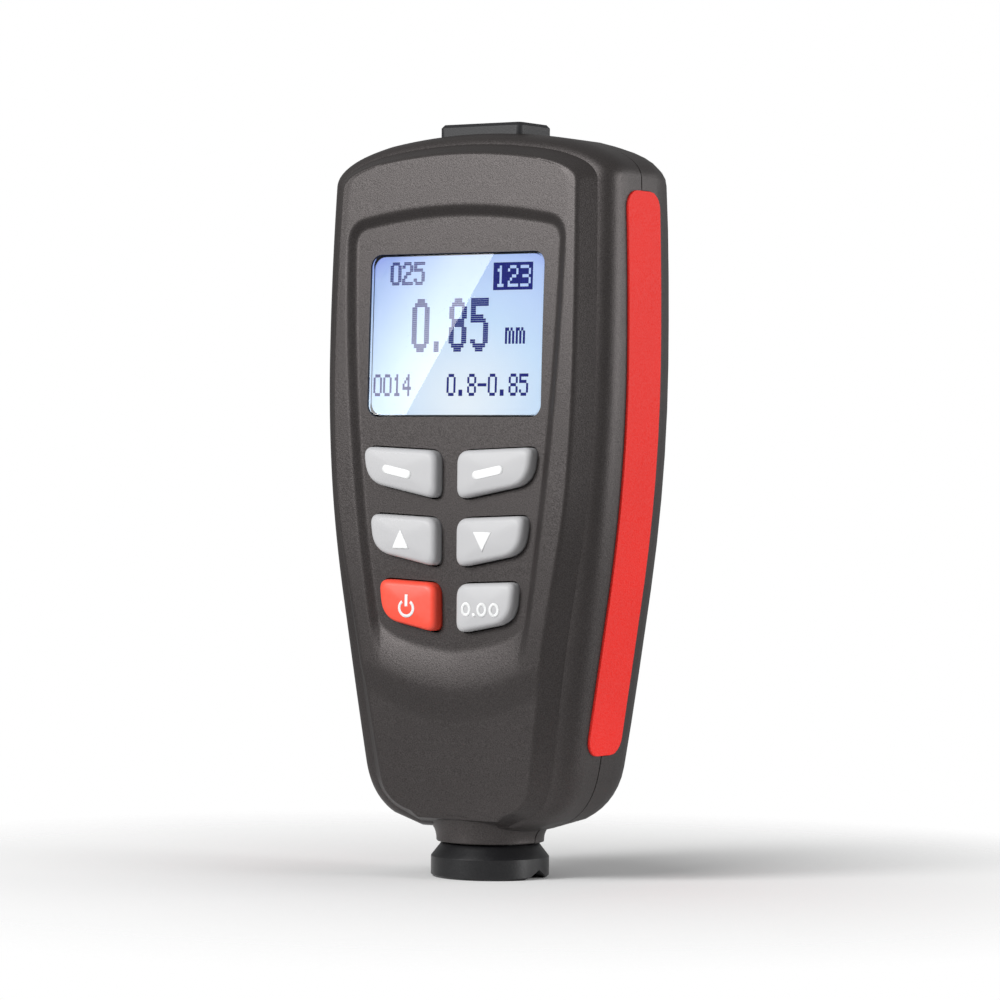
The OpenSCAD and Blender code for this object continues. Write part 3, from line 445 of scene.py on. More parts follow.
def lcd_material():
    """Lit film: blue at the top, paler to the middle, near white at the bottom."""
    material, tree, shader = new_material("lcd_film")
    coords = tree.nodes.new("ShaderNodeTexCoord")
    place = tree.nodes.new("ShaderNodeMapping")
    place.vector_type = "TEXTURE"
    place.inputs["Location"].default_value = GLOW_PLACE
    place.inputs["Scale"].default_value = GLOW_SIZE
    tree.links.new(coords.outputs["Generated"], place.inputs["Vector"])
    gradient = tree.nodes.new("ShaderNodeTexGradient")
    gradient.gradient_type = "SPHERICAL"
    tree.links.new(place.outputs["Vector"], gradient.inputs["Vector"])
    ramp = add_ramp(tree, gradient.outputs["Fac"],
                    [(0.0, (0.26, 0.36, 0.86)), (0.12, (0.42, 0.58, 0.96)), (0.5, (0.56, 0.76, 1.0)),
                     (0.9, (0.82, 0.92, 1.0))])
    tree.links.new(ramp.outputs["Color"], shader.inputs["Emission Color"])
    shader.inputs["Emission Strength"].default_value = 1.0
    shader.inputs["Base Color"].default_value = (0.02, 0.02, 0.03, 1)
    shader.inputs["Roughness"].default_value = 0.4
    return material


def glass_material():
    material, tree, shader = new_material("window_glass")
    noise = add_noise(tree, 1 / (GLASS_PATCH * MM), 2.0)
    vary(tree, noise, shader.inputs["Roughness"], grey(0.0), grey(0.012), 0.5)
    shader.inputs["Transmission Weight"].default_value = 1.0
    shader.inputs["IOR"].default_value = 1.49
    return material


lcd_film = lcd_material()
window_glass = glass_material()


# Keys: outline, holes and crowned shapes


def key_corners(row):
    w = KEY_OUTER[row] - KEY_INNER
    zt = KEY_ROWS[row]
    zb = zt - KEY_H
    return np.array([(KEY_INNER, zt - w * KEY_TOP_SLOPE), (KEY_OUTER[row], zt),
                     (KEY_OUTER[row] - KEY_LEAN, zb + (w - KEY_LEAN) * KEY_SLOPE), (KEY_INNER, zb)])


def key_mid(row):
    return key_corners(row).mean(0)


def key_crown(row):
    return BACK_D - 2 * PRINT_LIFT - (FACE_D - float(face_y(key_mid(row)[1])))


def key_loop(row, grow, steps=9):
    """Rounded outline of a right-hand key, as x, z points, grown by a margin."""
    q = key_corners(row)
    mid = key_mid(row)
    w = KEY_OUTER[row] - KEY_INNER
    scale = np.array([1 + 2 * grow / w, 1 + 2 * grow / KEY_H])
    points = []
    for k in range(4):
        p = q[k]
        a = q[k - 1] - p
        b = q[(k + 1) % 4] - p
        start = p + a / np.linalg.norm(a) * KEY_ROUND[k]
        end = p + b / np.linalg.norm(b) * KEY_ROUND[k]
        points.append(bezier(start, p, end, np.linspace(0, 1, steps)))
    return mid + (np.concatenate(points) - mid) * scale


def key_piece(name, row, mirror, material):
    """Soft key: straight skirt, rounded shoulder, slightly domed crown."""
    crown = -key_crown(row)
    profile = [(0.0, crown + KEY_SKIRT), (0.0, crown + KEY_SOFT + KEY_DOME)]
    for a in KEY_EDGE_ANGLES:
        profile.append((-KEY_SOFT * (1 - math.cos(a)), crown + KEY_DOME + KEY_SOFT * (1 - math.sin(a))))
    rings = []
    for grow, y in profile:
        loop = key_loop(row, grow)
        rings.append([(x, y, z) for x, z in loop])
    edge = key_loop(row, -KEY_SOFT)
    mid = key_mid(row)
    for share in CROWN_SHARES:
        loop = mid + (edge - mid) * share
        rings.append([(x, crown + KEY_DOME * share * share, z) for x, z in loop])
    faces = loop_rows(rings)
    n = len(rings[0])
    last = (len(rings) - 1) * n
    faces.append([last + i for i in range(n)])
    verts = [v for ring in rings for v in ring]
    if mirror:
        verts = [(-x, y, z) for x, y, z in verts]
        faces = [f[::-1] for f in faces]
    piece = add_mesh(name + "_soft", verts, faces, name, material, KEY_SHARP)
    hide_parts(name)


def prism(loop, y0, y1):
    """Closed prism through an x, z loop that runs clockwise seen from the front."""
    n = len(loop)
    verts = [(x, y1, z) for x, z in loop] + [(x, y0, z) for x, z in loop]
    faces = [(i, (i + 1) % n, n + (i + 1) % n, n + i) for i in range(n)]
    faces.append(list(range(n - 1, -1, -1)))
    faces.append(list(range(n, 2 * n)))
    return verts, faces


def rounded_rect(w, h, r, steps=8):
    """Rounded rectangle as x, z points, clockwise seen from the front."""
    points = []
    for cx, cz, start in ((1, 1, 90), (1, -1, 0), (-1, -1, -90), (-1, 1, -180)):
        for a in np.linspace(start, start - 90, steps):
            rad = math.radians(a)
            points.append((cx * (w / 2 - r) + r * math.cos(rad), cz * (h / 2 - r) + r * math.sin(rad)))
    return np.array(points)


DISPLAY_TILT = math.asin((WINDOW_Z - BELLY_Z) / FACE_R_UP)
DISPLAY_Y = -(float(face_y(WINDOW_Z)) - PANEL_DEPTH - LAY)


def from_display(points):
    """Points of the window's own frame, moved to the CAD frame."""
    turn = Matrix.Rotation(-DISPLAY_TILT, 3, "X")
    return [turn @ Vector(p) + Vector((0, DISPLAY_Y, WINDOW_Z)) for p in points]


# Front cover: rings from the seam to the face edge, then the face as a fine grid


COLUMNS = 160
COUNTS = (COLUMNS // 2, 20, 270, 24, COLUMNS // 2)
ROW_ARCH_Z = 66.0
ROW_ARCH_BLEND = 34.0
ROW_SAG = 0.024
ROW_SAG_Z = 52.0
ROW_SAG_BLEND = 13.0
ROW_FOOT_Z = 13.0
ROW_FOOT_BLEND = 18.0
RIM_SHARE = 0.06
SEAM_GROOVE = 0.4
SEAM_DEPTHS = (0.024, 0.18, 0.352)
SHOULDER_ANGLES = np.radians(np.linspace(12, 84, 7))
SHELL_SHARP = 32
EDGE_LIFT = 1.5
EDGE_BLEND = 5.0

# Rings round the edge of the face: inset share below and above the apron's edge, then depth share likewise
EDGE_RINGS = ((0.60, 0.60, 0.776, 0.776), (0.64, 0.64, 0.798, 0.80), (0.80, 0.80, 0.88, 0.90),
              (0.93, 0.94, 0.943, 0.985), (0.97, 0.99, 0.962, 1.018), (1.01, 1.04, 0.985, 1.036),
              (1.06, 1.09, 0.997, 1.0425), (1.10, 1.13, 1.0, 1.0435))


def inward(points, by):
    """Outline moved inwards along its own normals."""
    tangent = np.gradient(points, axis=0)
    normal = np.stack([tangent[:, 1], -tangent[:, 0]], 1)
    length = np.linalg.norm(normal, axis=1, keepdims=True)
    moved = points + normal / np.maximum(length, 1e-9) * by
    moved[0, 0] = moved[-1, 0] = 0
    return moved


def row_bend(z):
    """How strongly the rows of the face bend: up at the arched top, down at the sagging lower edges."""
    arch = 1 / (2 * FACE_TOP_R)
    sag = ROW_SAG * smooth((ROW_SAG_Z - z) / ROW_SAG_BLEND) * smooth((z - ROW_FOOT_Z) / ROW_FOOT_BLEND)
    return arch * smooth((z - ROW_ARCH_Z) / ROW_ARCH_BLEND) - sag


def shell_rings():
    """Rings of the front shell from the seam to the edge of the raised face, right half."""
    seam = half_outline(0, COUNTS)
    above = smooth((seam[:, 1] - APRON_Z - EDGE_LIFT) / EDGE_BLEND)
    steps = [(0.0, 0.0, s, s) for s in SEAM_DEPTHS]
    for a in SHOULDER_ANGLES:
        t = SHOULDER * (1 - math.cos(a))
        s = lerp(SEAM_BAND / FACE_D, SHOULDER_Y, math.sin(a))
        steps.append((t, t, s, s))
    steps += EDGE_RINGS
    groove = inward(seam, SEAM_GROOVE)
    rings = [np.stack([groove[:, 0], np.zeros(len(seam)), groove[:, 1]], 1)]
    for t_low, t_high, s_low, s_high in steps:
        p = lerp(half_outline(t_low, COUNTS), half_outline(t_high, COUNTS), above[:, None])
        y = -lerp(s_low, s_high, above) * (face_y(p[:, 1]) - APRON_STEP)
        rings.append(np.stack([p[:, 0], y, p[:, 1]], 1))
    return rings


def face_rows(edge):
    """Rows of the face between the right and the left edge, from the arched top to the foot."""
    first = COUNTS[0]
    last = len(edge) - COUNTS[4] - 1
    across = np.linspace(1, -1, COLUMNS + 1)
    x = edge[first:last + 1, :1] * across
    bend = row_bend(edge[first:last + 1, 2])
    bend[0] = 0.5 / lerp(TOP_R, FACE_TOP_R, EDGE_RINGS[-1][1])
    bend[-1] = 0
    z = edge[first:last + 1, 2:] + (edge[first:last + 1, :1] ** 2 - x * x) * bend[:, None]
    y = face_point_y(x, z)
    rim = np.clip((1 - np.abs(across)) / RIM_SHARE, 0, 1)
    edge_y = edge[first:last + 1, 1:2]
    y = np.where(rim < 1, lerp(edge_y, y, smooth(rim)), y)
    return np.stack([x, y, z], 2)


def front_shell():
    rings = shell_rings()
    m = len(rings[0])
    grid = face_rows(rings[-1])
    for i in range(COUNTS[0] + 1):
        rings[-1][i] = grid[0, COLUMNS // 2 - i]
    for i in range(COUNTS[4] + 1):
        rings[-1][m - 1 - i] = grid[-1, COLUMNS // 2 - i]
    bm = bmesh.new()
    right = [[bm.verts.new(v * MM) for v in ring] for ring in rings]
    left = [[bm.verts.new(v * np.array((-1, 1, 1)) * MM) for v in ring] for ring in rings]
    for k in range(len(rings) - 1):
        for i in range(m - 1):
            bm.faces.new((right[k][i], right[k][i + 1], right[k + 1][i + 1], right[k + 1][i]))
            bm.faces.new((left[k][i], left[k + 1][i], left[k + 1][i + 1], left[k][i + 1]))
    inner = [[bm.verts.new(v * MM) for v in row] for row in grid]
    for i in range(len(grid) - 1):
        for j in range(COLUMNS):
            bm.faces.new((inner[i][j], inner[i + 1][j], inner[i + 1][j + 1], inner[i][j + 1]))
    for i in range(m - 1):
        bm.faces.new((right[0][i + 1], right[0][i], left[0][i], left[0][i + 1]))
    bmesh.ops.remove_doubles(bm, verts=bm.verts, dist=MERGE * MM)
    bmesh.ops.dissolve_degenerate(bm, edges=bm.edges, dist=MERGE / 2 * MM)
    bmesh.ops.recalc_face_normals(bm, faces=bm.faces)
    mesh = bpy.data.meshes.new("front_shell")
    bm.to_mesh(mesh)
    bm.free()
    shell = bpy.data.objects.new("front_shell", mesh)
    bpy.context.scene.collection.objects.link(shell)
    return shell


def cut_openings(shell):
    """Key holes and the window pocket, cut from the shell."""
    verts = []
    faces = []

    def add(points, loops):
        base = len(verts)
        verts.extend(points)
        faces.extend([[base + i for i in f] for f in loops])

    for row in range(3):
        seat = float(face_y(key_mid(row)[1])) - PANEL_DEPTH
        for sign in (1, -1):
            points, loops = prism(key_loop(row, FIT), -seat - CUT_ABOVE, -seat + KEY_HOLE_DEPTH)
            points = [(sign * x, y, z) for x, y, z in points]
            add(points, loops if sign > 0 else [f[::-1] for f in loops])
    pocket = rounded_rect(WINDOW_W + 2 * FIT, WINDOW_H + 2 * FIT, WINDOW_R + FIT)
    points, loops = prism(pocket, -CUT_ABOVE, POCKET_DEPTH)
    add(from_display(points), loops)
    cutter = add_mesh("cutter", verts, faces, None, None)
    face_outward(cutter.data)
    modifier = shell.modifiers.new("openings", "BOOLEAN")
    modifier.operation = "DIFFERENCE"
    modifier.solver = "EXACT"
    modifier.object = cutter
    apply_modifiers(shell)
    bpy.data.objects.remove(cutter)


shell = front_shell()
cut_openings(shell)
finish_piece(shell, charcoal, SHELL_SHARP)
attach(shell, "housing")
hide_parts("front_cover")


# Neck, in two halves that meet at the seam

NECK_STEPS = 120
NECK_SEAM = 0.12
NECK_LOW_Z = 5.35
NECK_EDGE = 0.12
NECK_FLARE_Z = 5.6
NECK_WALL = 0.9
NECK_SKIN = 0.02
NECK_HIDDEN = 0.6
NECK_SIDE_TOP = 7.95
NECK_SIDE_FLARE = 2.3
NECK_SIDE_CURVE = 1.5
NECK_SHARP = 50
NECK_FLARE_ANGLES = np.linspace(0.08, 1, 12) * math.pi / 2


def neck_half(name, start, radius, flare, height):
    """Half a turn of neck, flaring softly into the housing: little at front and back, more at the sides."""
    gap = math.asin(NECK_SEAM / radius)
    rings = []
    for i in range(NECK_STEPS + 1):
        a = math.radians(start) + gap + (math.pi - 2 * gap) * i / NECK_STEPS
        side = abs(math.cos(a)) ** NECK_SIDE_CURVE
        top = lerp(height, NECK_SIDE_TOP, side)
        out = lerp(flare, NECK_SIDE_FLARE, side)
        profile = [(radius - NECK_WALL, NECK_LOW_Z), (radius - NECK_EDGE, NECK_LOW_Z),
                   (radius, NECK_LOW_Z + NECK_EDGE), (radius, NECK_FLARE_Z)]
        for u in NECK_FLARE_ANGLES:
            profile.append((radius + out * (1 - math.cos(u)), lerp(NECK_FLARE_Z, top, math.sin(u))))
        profile.append((radius - NECK_WALL, height + NECK_HIDDEN))
        rings.append([(r * math.cos(a), r * math.sin(a), z) for r, z in profile])
    n = len(rings[0])
    faces = []
    for k in range(NECK_STEPS):
        for i in range(n):
            j = (i + 1) % n
            faces.append((k * n + i, (k + 1) * n + i, (k + 1) * n + j, k * n + j))
    faces.append(list(range(n)))
    faces.append(list(range((NECK_STEPS + 1) * n - 1, NECK_STEPS * n - 1, -1)))
    piece = add_mesh(name, [v for r in rings for v in r], faces, "housing", charcoal)
    face_outward(piece.data)
    piece.data.set_sharp_from_angle(angle=math.radians(NECK_SHARP))


neck_half("front_neck", start=180, radius=NECK_R, flare=1.0, height=9.6)
neck_half("rear_neck", start=0, radius=NECK_R + NECK_SKIN, flare=0.0, height=8.2)

# Name, row, and whether the key is a mirrored one on the left
KEYS = [("left_soft_key", 0, True), ("right_soft_key", 0, False), ("up_key", 1, True), ("down_key", 1, False),
        ("power_key", 2, True), ("zero_key", 2, False)]
for key_name, key_row, key_mirror in KEYS:
    if key_name == "power_key":
        key_piece(key_name, key_row, key_mirror, key_red)
    else:
        key_piece(key_name, key_row, key_mirror, key_grey)


# White print on the keys, laid on the domed crowns


def crown_y(row, x, z):
    """Depth of a key's domed crown at x, z of the right-hand key."""
    edge = key_loop(row, -KEY_SOFT) - key_mid(row)
    angles = np.arctan2(edge[:, 1], edge[:, 0])
    order = np.argsort(angles)
    radius = np.hypot(edge[:, 0], edge[:, 1])
    dx = x - key_mid(row)[0]
    dz = z - key_mid(row)[1]
    reach = np.interp(math.atan2(dz, dx), angles[order], radius[order], period=2 * math.pi)
    share = min(1.0, math.hypot(dx, dz) / reach)
    return -key_crown(row) + KEY_DOME * share * share


def printed(name, row, mirror, shapes):
    """Thin print from convex x, z polygons, split into small facets that follow the dome."""
    bm = bmesh.new()
    for polygon in shapes:
        rim = [bm.verts.new((x, 0, z)) for x, z in polygon]
        mid = bm.verts.new((np.mean(polygon, 0)[0], 0, np.mean(polygon, 0)[1]))
        for i in range(len(rim)):
            bm.faces.new((rim[i], rim[(i + 1) % len(rim)], mid))
    wide = [e for e in bm.edges if e.calc_length() > PRINT_FACET]
    bmesh.ops.subdivide_edges(bm, edges=wide, cuts=PRINT_CUTS, use_grid_fill=True)
    bmesh.ops.triangulate(bm, faces=bm.faces)
    sign = -1 if mirror else 1
    bm.verts.index_update()
    verts = [(v.co.x, crown_y(row, sign * v.co.x, v.co.z) - PRINT_LIFT, v.co.z) for v in bm.verts]
    faces = [[v.index for v in f.verts] for f in bm.faces]
    bm.free()
    piece = add_mesh(name + "_print", verts, faces, name, print_white)
    face_forward(piece.data)
    thicken(piece)


def face_forward(mesh):
    """Turn every face of a flat piece to the front."""
    bm = bmesh.new()
    bm.from_mesh(mesh)
    bm.normal_update()
    bmesh.ops.reverse_faces(bm, faces=[f for f in bm.faces if f.normal.y > 0])
    bm.to_mesh(mesh)
    bm.free()


def thicken(piece):
    """Give a flat piece the thickness of a coat of ink, backwards."""
    coat = piece.modifiers.new("coat", "SOLIDIFY")
    coat.thickness = INK_COAT * MM
    coat.offset = -1
    apply_modifiers(piece)


def arc(cx, cz, rx, rz, start, end, steps=10):
    a = np.radians(np.linspace(start, end, steps))
    return np.stack([cx + rx * np.cos(a), cz + rz * np.sin(a)], 1)


def ring_quads(cx, cz, rx, rz, stroke, start=0, end=360, steps=40):
    """Band along an arc as a row of four-sided polygons."""
    outer = arc(cx, cz, rx, rz, start, end, steps)
    inner = arc(cx, cz, rx - stroke, rz - stroke, start, end, steps)
    return [np.array([outer[i], outer[i + 1], inner[i + 1], inner[i]]) for i in range(steps - 1)]


def pill(cx, cz, length, width, tilt):
    r = width / 2
    ends = np.concatenate([arc(length / 2 - r, 0, r, r, -90, 90), arc(r - length / 2, 0, r, r, 90, 270)])
    c, d = math.cos(math.radians(tilt)), math.sin(math.radians(tilt))
    return np.stack([cx + ends[:, 0] * c - ends[:, 1] * d, cz + ends[:, 0] * d + ends[:, 1] * c], 1)


def box(cx, cz, w, h):
    return np.array([(cx - w / 2, cz - h / 2), (cx + w / 2, cz - h / 2), (cx + w / 2, cz + h / 2),
                     (cx - w / 2, cz + h / 2)])


ZERO_FIGURE = (0.92, 1.08, 0.5)
printed("left_soft_key", 0, True, [pill(-8.7, 61.0, 5.4, 1.3, -11)])
printed("right_soft_key", 0, False, [pill(7.8, 61.0, 5.6, 1.3, 11)])
printed("up_key", 1, True, [np.array([(-9.45, 49.5), (-6.35, 49.5), (-7.9, 52.4)])])
printed("down_key", 1, False, [np.array([(5.3, 52.2), (8.6, 52.2), (6.95, 49.3)])])
printed("power_key", 2, True, [*ring_quads(-6.8, 40.6, 1.5, 1.4, 0.46, 125, 415), box(-6.8, 41.75, 0.5, 1.8)])
printed("zero_key", 2, False, [
    *ring_quads(4.0, 40.7, *ZERO_FIGURE), box(5.45, 39.9, 0.55, 0.55), *ring_quads(6.9, 40.7, *ZERO_FIGURE),
    *ring_quads(9.05, 40.7, *ZERO_FIGURE)])


# Display picture: a lit film bonded to the back of the window, and plain figures of small dots

DOTS = {
    "0": "01110 10001 10001 10001 10001 10001 01110", "1": "00100 01100 00100 00100 00100 00100 01110",
    "2": "01110 10001 00001 00110 01000 10000 11111", "3": "11110 00001 00001 01110 00001 00001 11110",
    "5": "11111 10000 11110 00001 00001 10001 01110", "8": "01110 10001 10001 01110 10001 10001 01110",
    "4": "00010 00110 01010 10010 11111 00010 00010", "-": "00000 00000 00000 11111 00000 00000 00000",
    ".": "00000 00000 00000 00000 00000 01100 01100", "m": "00000 00000 11010 10101 10101 10101 10101",
}
BIG_DOTS = {
    "0": "0011100 0111110" + " 1100011" * 9 + " 0111110 0011100",
    "8": "0011100 0111110" + " 1100011" * 3 + " 0111110 0111110" + " 1100011" * 4 + " 0111110 0011100",
    "5": "1111111 1111111 1100000 1100000 1111100 1111110" + " 0000011" * 4 + " 1100011 0111110 0011100",
}


def dots_of(text):
    """Rows of 0 and 1 for a line of characters, one empty column between them."""
    rows = ["" for _ in range(7)]
    for letter in text:
        for i, row in enumerate(DOTS[letter].split()):
            rows[i] += row + "0"
    return [row[:-1] for row in rows]


def figures(rows, x0, z_top, w, h, bars=1, wide=1.0, fill=1.0):
    """Quads of the set dots; each dot is split into bars with fine gaps between them."""
    cell_w = w / len(rows[0])
    cell_h = h / len(rows)
    quads = []
    for i, row in enumerate(rows):
        for j, dot in enumerate(row):
            if dot == "1":
                for k in range(bars):
                    z = z_top - (i + (k + 0.5) / bars) * cell_h
                    quads.append(box(x0 + (j + 0.5) * cell_w, z, cell_w * wide, cell_h / bars * fill))
    return quads


def display_picture():
    """Lit film, the reading, its unit, two lines of small figures and a framed number in reverse."""
    loop = rounded_rect(WINDOW_W - 2 * FILM_MARGIN, WINDOW_H - 2 * FILM_MARGIN, WINDOW_R + FILM_ROUND)
    points, loops = prism(loop, FILM_Y, FILM_Y + FILM_T)
    film = add_mesh("display_film", from_display(points), loops, "housing", lcd_film, FILM_SHARP)
    face_outward(film.data)
    quads = figures(["11"] * 3, -4.2, -0.9, 0.9, 1.6, bars=2, fill=0.9)
    for letter, left in (("0", -8.3), ("8", -1.5), ("5", 2.4)):
        quads += figures(BIG_DOTS[letter].split(), left, 5.5, 3.2, 8.0, bars=2, fill=0.9)
    quads += figures(dots_of("mm"), 8.7, 2.0, 3.5, 3.4, wide=1.25)
    quads += figures(dots_of("025"), -12.4, 11.1, 6.1, 3.5, bars=2, wide=1.7, fill=0.85)
    quads += figures(dots_of("0014"), -15.1, -5.8, 6.9, 3.3, wide=1.2)
    quads += figures(dots_of("0.8-0.85"), -1.6, -5.8, 14.6, 3.3, wide=1.2)
    inverse = dots_of("123")
    blank = "1" * (len(inverse[0]) + 2)
    flipped = [blank] + ["1" + row.translate(str.maketrans("01", "10")) + "1" for row in inverse] + [blank]
    quads += figures(flipped, 6.3, 10.7, 7.05, 4.1, fill=1.02)
    verts = []
    faces = []
    for quad in quads:
        base = len(verts)
        verts.extend((x, INK_Y, z) for x, z in quad)
        faces.append((base, base + 1, base + 2, base + 3))
    ink = add_mesh("display_figures", from_display(verts), faces, "housing", lcd_ink)
    face_forward(ink.data)
    thicken(ink)


display_picture()


# CAD nodes that stay: smooth shading and a finish each

BEVEL_SEGMENTS = 3
CAD_SHARP = 30


def dress(name, material, sharp, bevel):
    """Material, smooth shading up to an angle in degrees, and bevelled edges in millimetres where given."""
    node = nodes[name]
    mesh = node.data
    mesh.materials.clear()
    mesh.materials.append(material)
    if "custom_normal" in mesh.attributes:
        mesh.attributes.remove(mesh.attributes["custom_normal"])
    mesh.polygons.foreach_set("use_smooth", [True] * len(mesh.polygons))
    mesh.edges.foreach_set("use_edge_sharp", [False] * len(mesh.edges))
    weld = node.modifiers.new("weld", "WELD")
    weld.merge_threshold = MERGE * MM
    if bevel:
        edge = node.modifiers.new("edge", "BEVEL")
        edge.width = bevel * MM
        edge.segments = BEVEL_SEGMENTS
        edge.limit_method = "ANGLE"
        edge.angle_limit = math.radians(sharp)
    split = node.modifiers.new("split", "EDGE_SPLIT")
    split.split_angle = math.radians(sharp)
    split.use_edge_sharp = False
    node.modifiers.new("normals", "WEIGHTED_NORMAL")


FINISHES = (
    (charcoal, ("rear_cover", "battery_door")),
    (grip_red, ("left_grip", "right_grip")),
    (window_glass, ("display_window",)),
    (dark_glass, ("lcd_glass",)),
    (white_plastic, ("backlight", "lcd_frame")),
    (black_rubber, ("window_gasket", "port_cover")),
    (grey_rubber, ("contact_strip", "keypad_mat")),
    (board_resist, ("main_board",)),
    (black_satin, ("controller_chip", "beeper", "probe_sleeve", "probe_plug")),
    (plated_steel, ("clock_crystal", "switch_domes", "probe_tip", "probe_spring", "data_socket",
                    "battery_springs", "battery_plates", "case_screws", "board_screws")),
    (bobbin_plastic, ("coil_bobbin",)),
    (copper, ("coil_winding",)),
    (ferrite, ("ferrite_core",)),
    (cell_sleeve, ("left_cell", "right_cell")),
)
BEVELS = {
    "battery_door": 0.25, "left_grip": 0.45, "right_grip": 0.45, "beeper": 0.2, "probe_sleeve": 0.12,
    "probe_tip": 0.1, "probe_plug": 0.1, "port_cover": 0.3, "left_cell": 0.1, "right_cell": 0.1,
    "case_screws": 0.1, "board_screws": 0.1,
}
SHARP_ANGLES = {"probe_spring": 60, "battery_springs": 60}
for finish, node_names in FINISHES:
    for node_name in node_names:
        dress(node_name, finish, SHARP_ANGLES.get(node_name, CAD_SHARP), BEVELS.get(node_name, 0))


# Stage, light and camera, in metres

FLOOR_SIDE = 1.5
FLOOR_FULL = 0.03
FLOOR_GONE = 0.12
WORLD_LIGHT = 0.26
CAMERA_AZIMUTH = math.radians(34.32)
CAMERA_DISTANCE = 0.6166
CAMERA_HEIGHT = 0.0609
CAMERA_ROLL = math.radians(0.58)
CAMERA_LENS = 146.7
AIM = Vector((0.000797, 0.000544, 0.05688))
CAMERA_PLACE = Vector((CAMERA_DISTANCE * math.sin(CAMERA_AZIMUTH),
                       -CAMERA_DISTANCE * math.cos(CAMERA_AZIMUTH), CAMERA_HEIGHT))

# Ends of the glare's limit in the window's own frame, in millimetres, and the card that makes it
GLARE_ENDS = ((6.7, 12.0), (-7.2, -9.8))
CARD_DISTANCE = 0.8
CARD_WIDTH = 0.03
CARD_REACH = 0.1
CARD_STRENGTH = 13
SOFTBOX_GAP = 0.03
SOFTBOX_RISE = 0.3
SOFTBOX_SIZE = (0.26, 0.34)
SOFTBOX_POWER = 5.6

# Name, place, height aimed at, size and power
LAMPS = (
    ("key_light", (-0.25, -0.8, 0.36), 0.07, (0.45, 0.24), 0.6),
    ("fill_light", (0.72, 0.75, 0.25), 0.06, (0.5, 0.6), 2.6),
    ("side_light", (0.95, 0.24, 0.2), 0.06, (0.3, 0.5), 4.9),
    ("front_light", (-0.1, -0.65, 0.55), 0.06, (0.4, 0.4), 2.2),
)


def add_area(name, place, size, power):
    data = bpy.data.lights.new(name, "AREA")
    data.shape = "RECTANGLE"
    data.size, data.size_y = size
    data.energy = power
    lamp = bpy.data.objects.new(name, data)
    bpy.context.scene.collection.objects.link(lamp)
    lamp.location = place
    return lamp


def add_lamp(name, place, aim_z, size, power):
    """Area lamp turned to a height on the gauge's axis."""
    lamp = add_area(name, place, size, power)
    lamp.rotation_euler = (Vector((0, 0, aim_z)) - Vector(place)).to_track_quat("-Z", "Y").to_euler()


def add_floor():
    """Pale floor that holds the shadow and fades into the background away from the gauge."""
    mesh = bpy.data.meshes.new("floor")
    corners = [(x * FLOOR_SIDE, y * FLOOR_SIDE, 0) for x, y in ((-1, -1), (1, -1), (1, 1), (-1, 1))]
    mesh.from_pydata(corners, [], [(0, 1, 2, 3)])
    floor = bpy.data.objects.new("floor", mesh)
    bpy.context.scene.collection.objects.link(floor)
    material, tree, shader = new_material("pale_floor")
    shader.inputs["Base Color"].default_value = (0.9, 0.9, 0.9, 1)
    shader.inputs["Roughness"].default_value = 0.9
    shader.inputs["Specular IOR Level"].default_value = 0.0
    coords = tree.nodes.new("ShaderNodeTexCoord")
    length = tree.nodes.new("ShaderNodeVectorMath")
    length.operation = "LENGTH"
    tree.links.new(coords.outputs["Object"], length.inputs[0])
    fade = add_ramp(tree, length.outputs["Value"], [(FLOOR_FULL, grey(1)), (FLOOR_GONE, grey(0))])
    clear = tree.nodes.new("ShaderNodeBsdfTransparent")
    mix = tree.nodes.new("ShaderNodeMixShader")
    tree.links.new(fade.outputs["Color"], mix.inputs["Fac"])
    tree.links.new(clear.outputs[0], mix.inputs[1])
    tree.links.new(shader.outputs[0], mix.inputs[2])
    tree.links.new(mix.outputs[0], tree.nodes["Material Output"].inputs["Surface"])
    mesh.materials.append(material)


def add_world():
    """Soft light from all round, behind which the camera sees plain white."""
    world = bpy.data.worlds.new("studio")
    bpy.context.scene.world = world
    world.use_nodes = True
    tree = world.node_tree
    light = tree.nodes["Background"]
    light.inputs["Color"].default_value = (1, 1, 1, 1)
    light.inputs["Strength"].default_value = WORLD_LIGHT
    seen = tree.nodes.new("ShaderNodeBackground")
    seen.inputs["Color"].default_value = (1, 1, 1, 1)
    seen.inputs["Strength"].default_value = 1.0
    path = tree.nodes.new("ShaderNodeLightPath")
    mix = tree.nodes.new("ShaderNodeMixShader")
    tree.links.new(path.outputs["Is Camera Ray"], mix.inputs["Fac"])
    tree.links.new(light.outputs[0], mix.inputs[1])
    tree.links.new(seen.outputs[0], mix.inputs[2])
    tree.links.new(mix.outputs[0], tree.nodes["World Output"].inputs["Surface"])


def add_camera():
    data = bpy.data.cameras.new("camera")
    data.sensor_width = 36
    data.lens = CAMERA_LENS
    data.clip_end = 10
    camera = bpy.data.objects.new("camera", data)
    bpy.context.scene.collection.objects.link(camera)
    turn = (AIM - CAMERA_PLACE).to_track_quat("-Z", "Y").to_matrix() @ Matrix.Rotation(CAMERA_ROLL, 3, "Z")
    camera.location = CAMERA_PLACE
    camera.rotation_euler = turn.to_euler()
    bpy.context.scene.camera = camera


def mirrored_ray(x, z):
    """Direction in which the camera sees the studio in the window, at a place of the window's own frame."""
    hit = from_display([(x, 0, z)])[0] * MM
    normal = Matrix.Rotation(-DISPLAY_TILT, 3, "X") @ Vector((0, -1, 0))
    return hit, (hit - CAMERA_PLACE).normalized().reflect(normal)


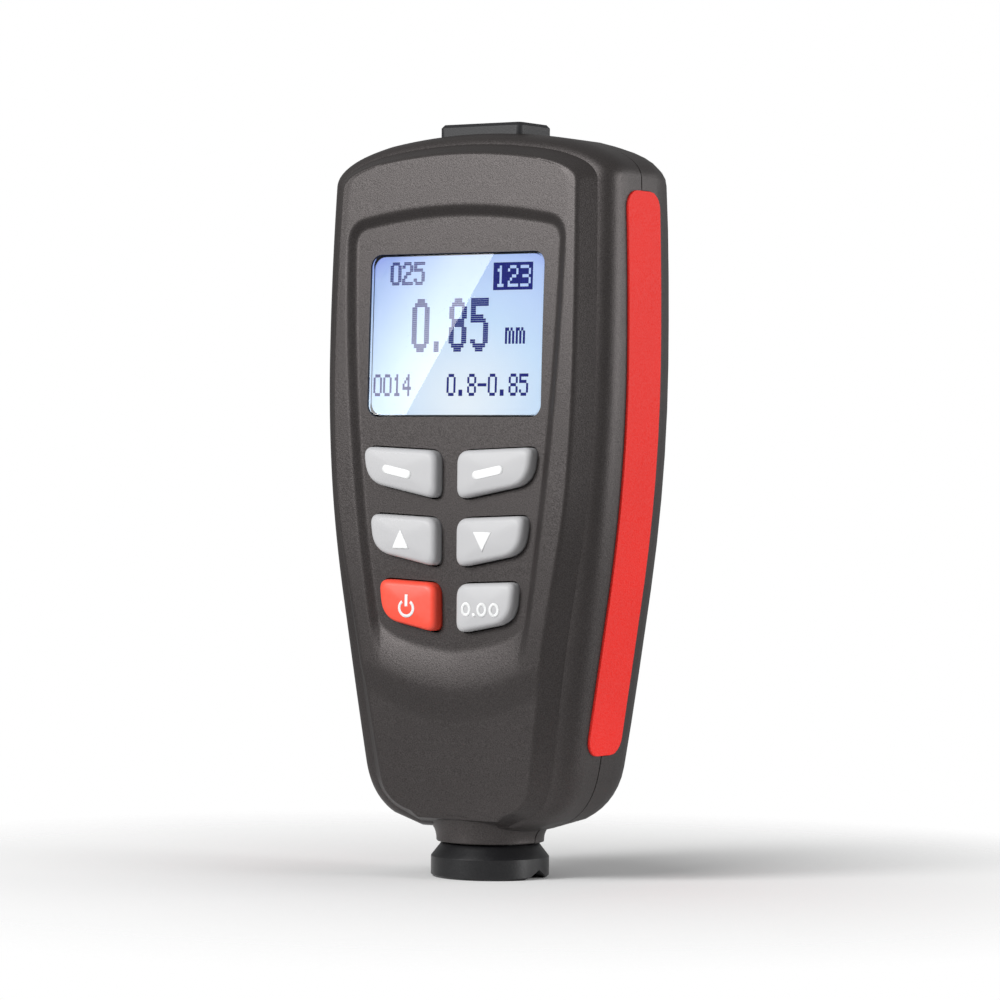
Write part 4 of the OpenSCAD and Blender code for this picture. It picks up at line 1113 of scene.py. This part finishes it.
def add_glare_card():
    """Lit card whose edge shows in the window as the slanting limit of a glare that fades to the left."""
    ends = []
    for x, z in GLARE_ENDS:
        hit, ray = mirrored_ray(x, z)
        ends.append(hit + ray * CARD_DISTANCE)
    along = (ends[0] - ends[1]).normalized()
    ray = mirrored_ray(0, 0)[1]
    outward = along.cross(ray).normalized()
    if outward.x > 0:
        outward = -outward
    mid = (ends[0] + ends[1]) / 2
    corners = [mid + outward * u * CARD_WIDTH + along * v * CARD_REACH
               for u, v in ((0, -1), (1, -1), (1, 1), (0, 1))]
    mesh = bpy.data.meshes.new("glare_card")
    mesh.from_pydata(corners, [], [(0, 1, 2, 3)])
    layer = mesh.uv_layers.new(name="card")
    for loop, uv in zip(layer.data, ((0, 0), (1, 0), (1, 1), (0, 1))):
        loop.uv = uv
    material, tree, shader = new_material("glare_card")
    coords = tree.nodes.new("ShaderNodeTexCoord")
    gradient = tree.nodes.new("ShaderNodeTexGradient")
    tree.links.new(coords.outputs["UV"], gradient.inputs["Vector"])
    fade = add_ramp(tree, gradient.outputs["Fac"], [(0.0, grey(0.55)), (0.3, grey(0.5)), (1.0, grey(0))])
    tree.links.new(fade.outputs["Color"], shader.inputs["Emission Color"])
    shader.inputs["Emission Strength"].default_value = CARD_STRENGTH
    shader.inputs["Base Color"].default_value = (0, 0, 0, 1)
    mesh.materials.append(material)
    card = bpy.data.objects.new("glare_card", mesh)
    card.visible_camera = False
    bpy.context.scene.collection.objects.link(card)
    return mid, outward, ray


def add_softbox(mid, outward, ray):
    """Large box beside the card and just outside the window's mirror view, for the sheen of the front."""
    place = mid - outward * (SOFTBOX_GAP + SOFTBOX_SIZE[0] / 2) + Vector((0, 0, SOFTBOX_RISE))
    lamp = add_area("softbox", place, SOFTBOX_SIZE, SOFTBOX_POWER)
    lamp.rotation_euler = Matrix((outward, ray.cross(outward), ray)).transposed().to_euler()


add_floor()
add_world()
add_softbox(*add_glare_card())
for lamp in LAMPS:
    add_lamp(*lamp)
add_camera()
bpy.context.scene.view_settings.view_transform = "Standard"
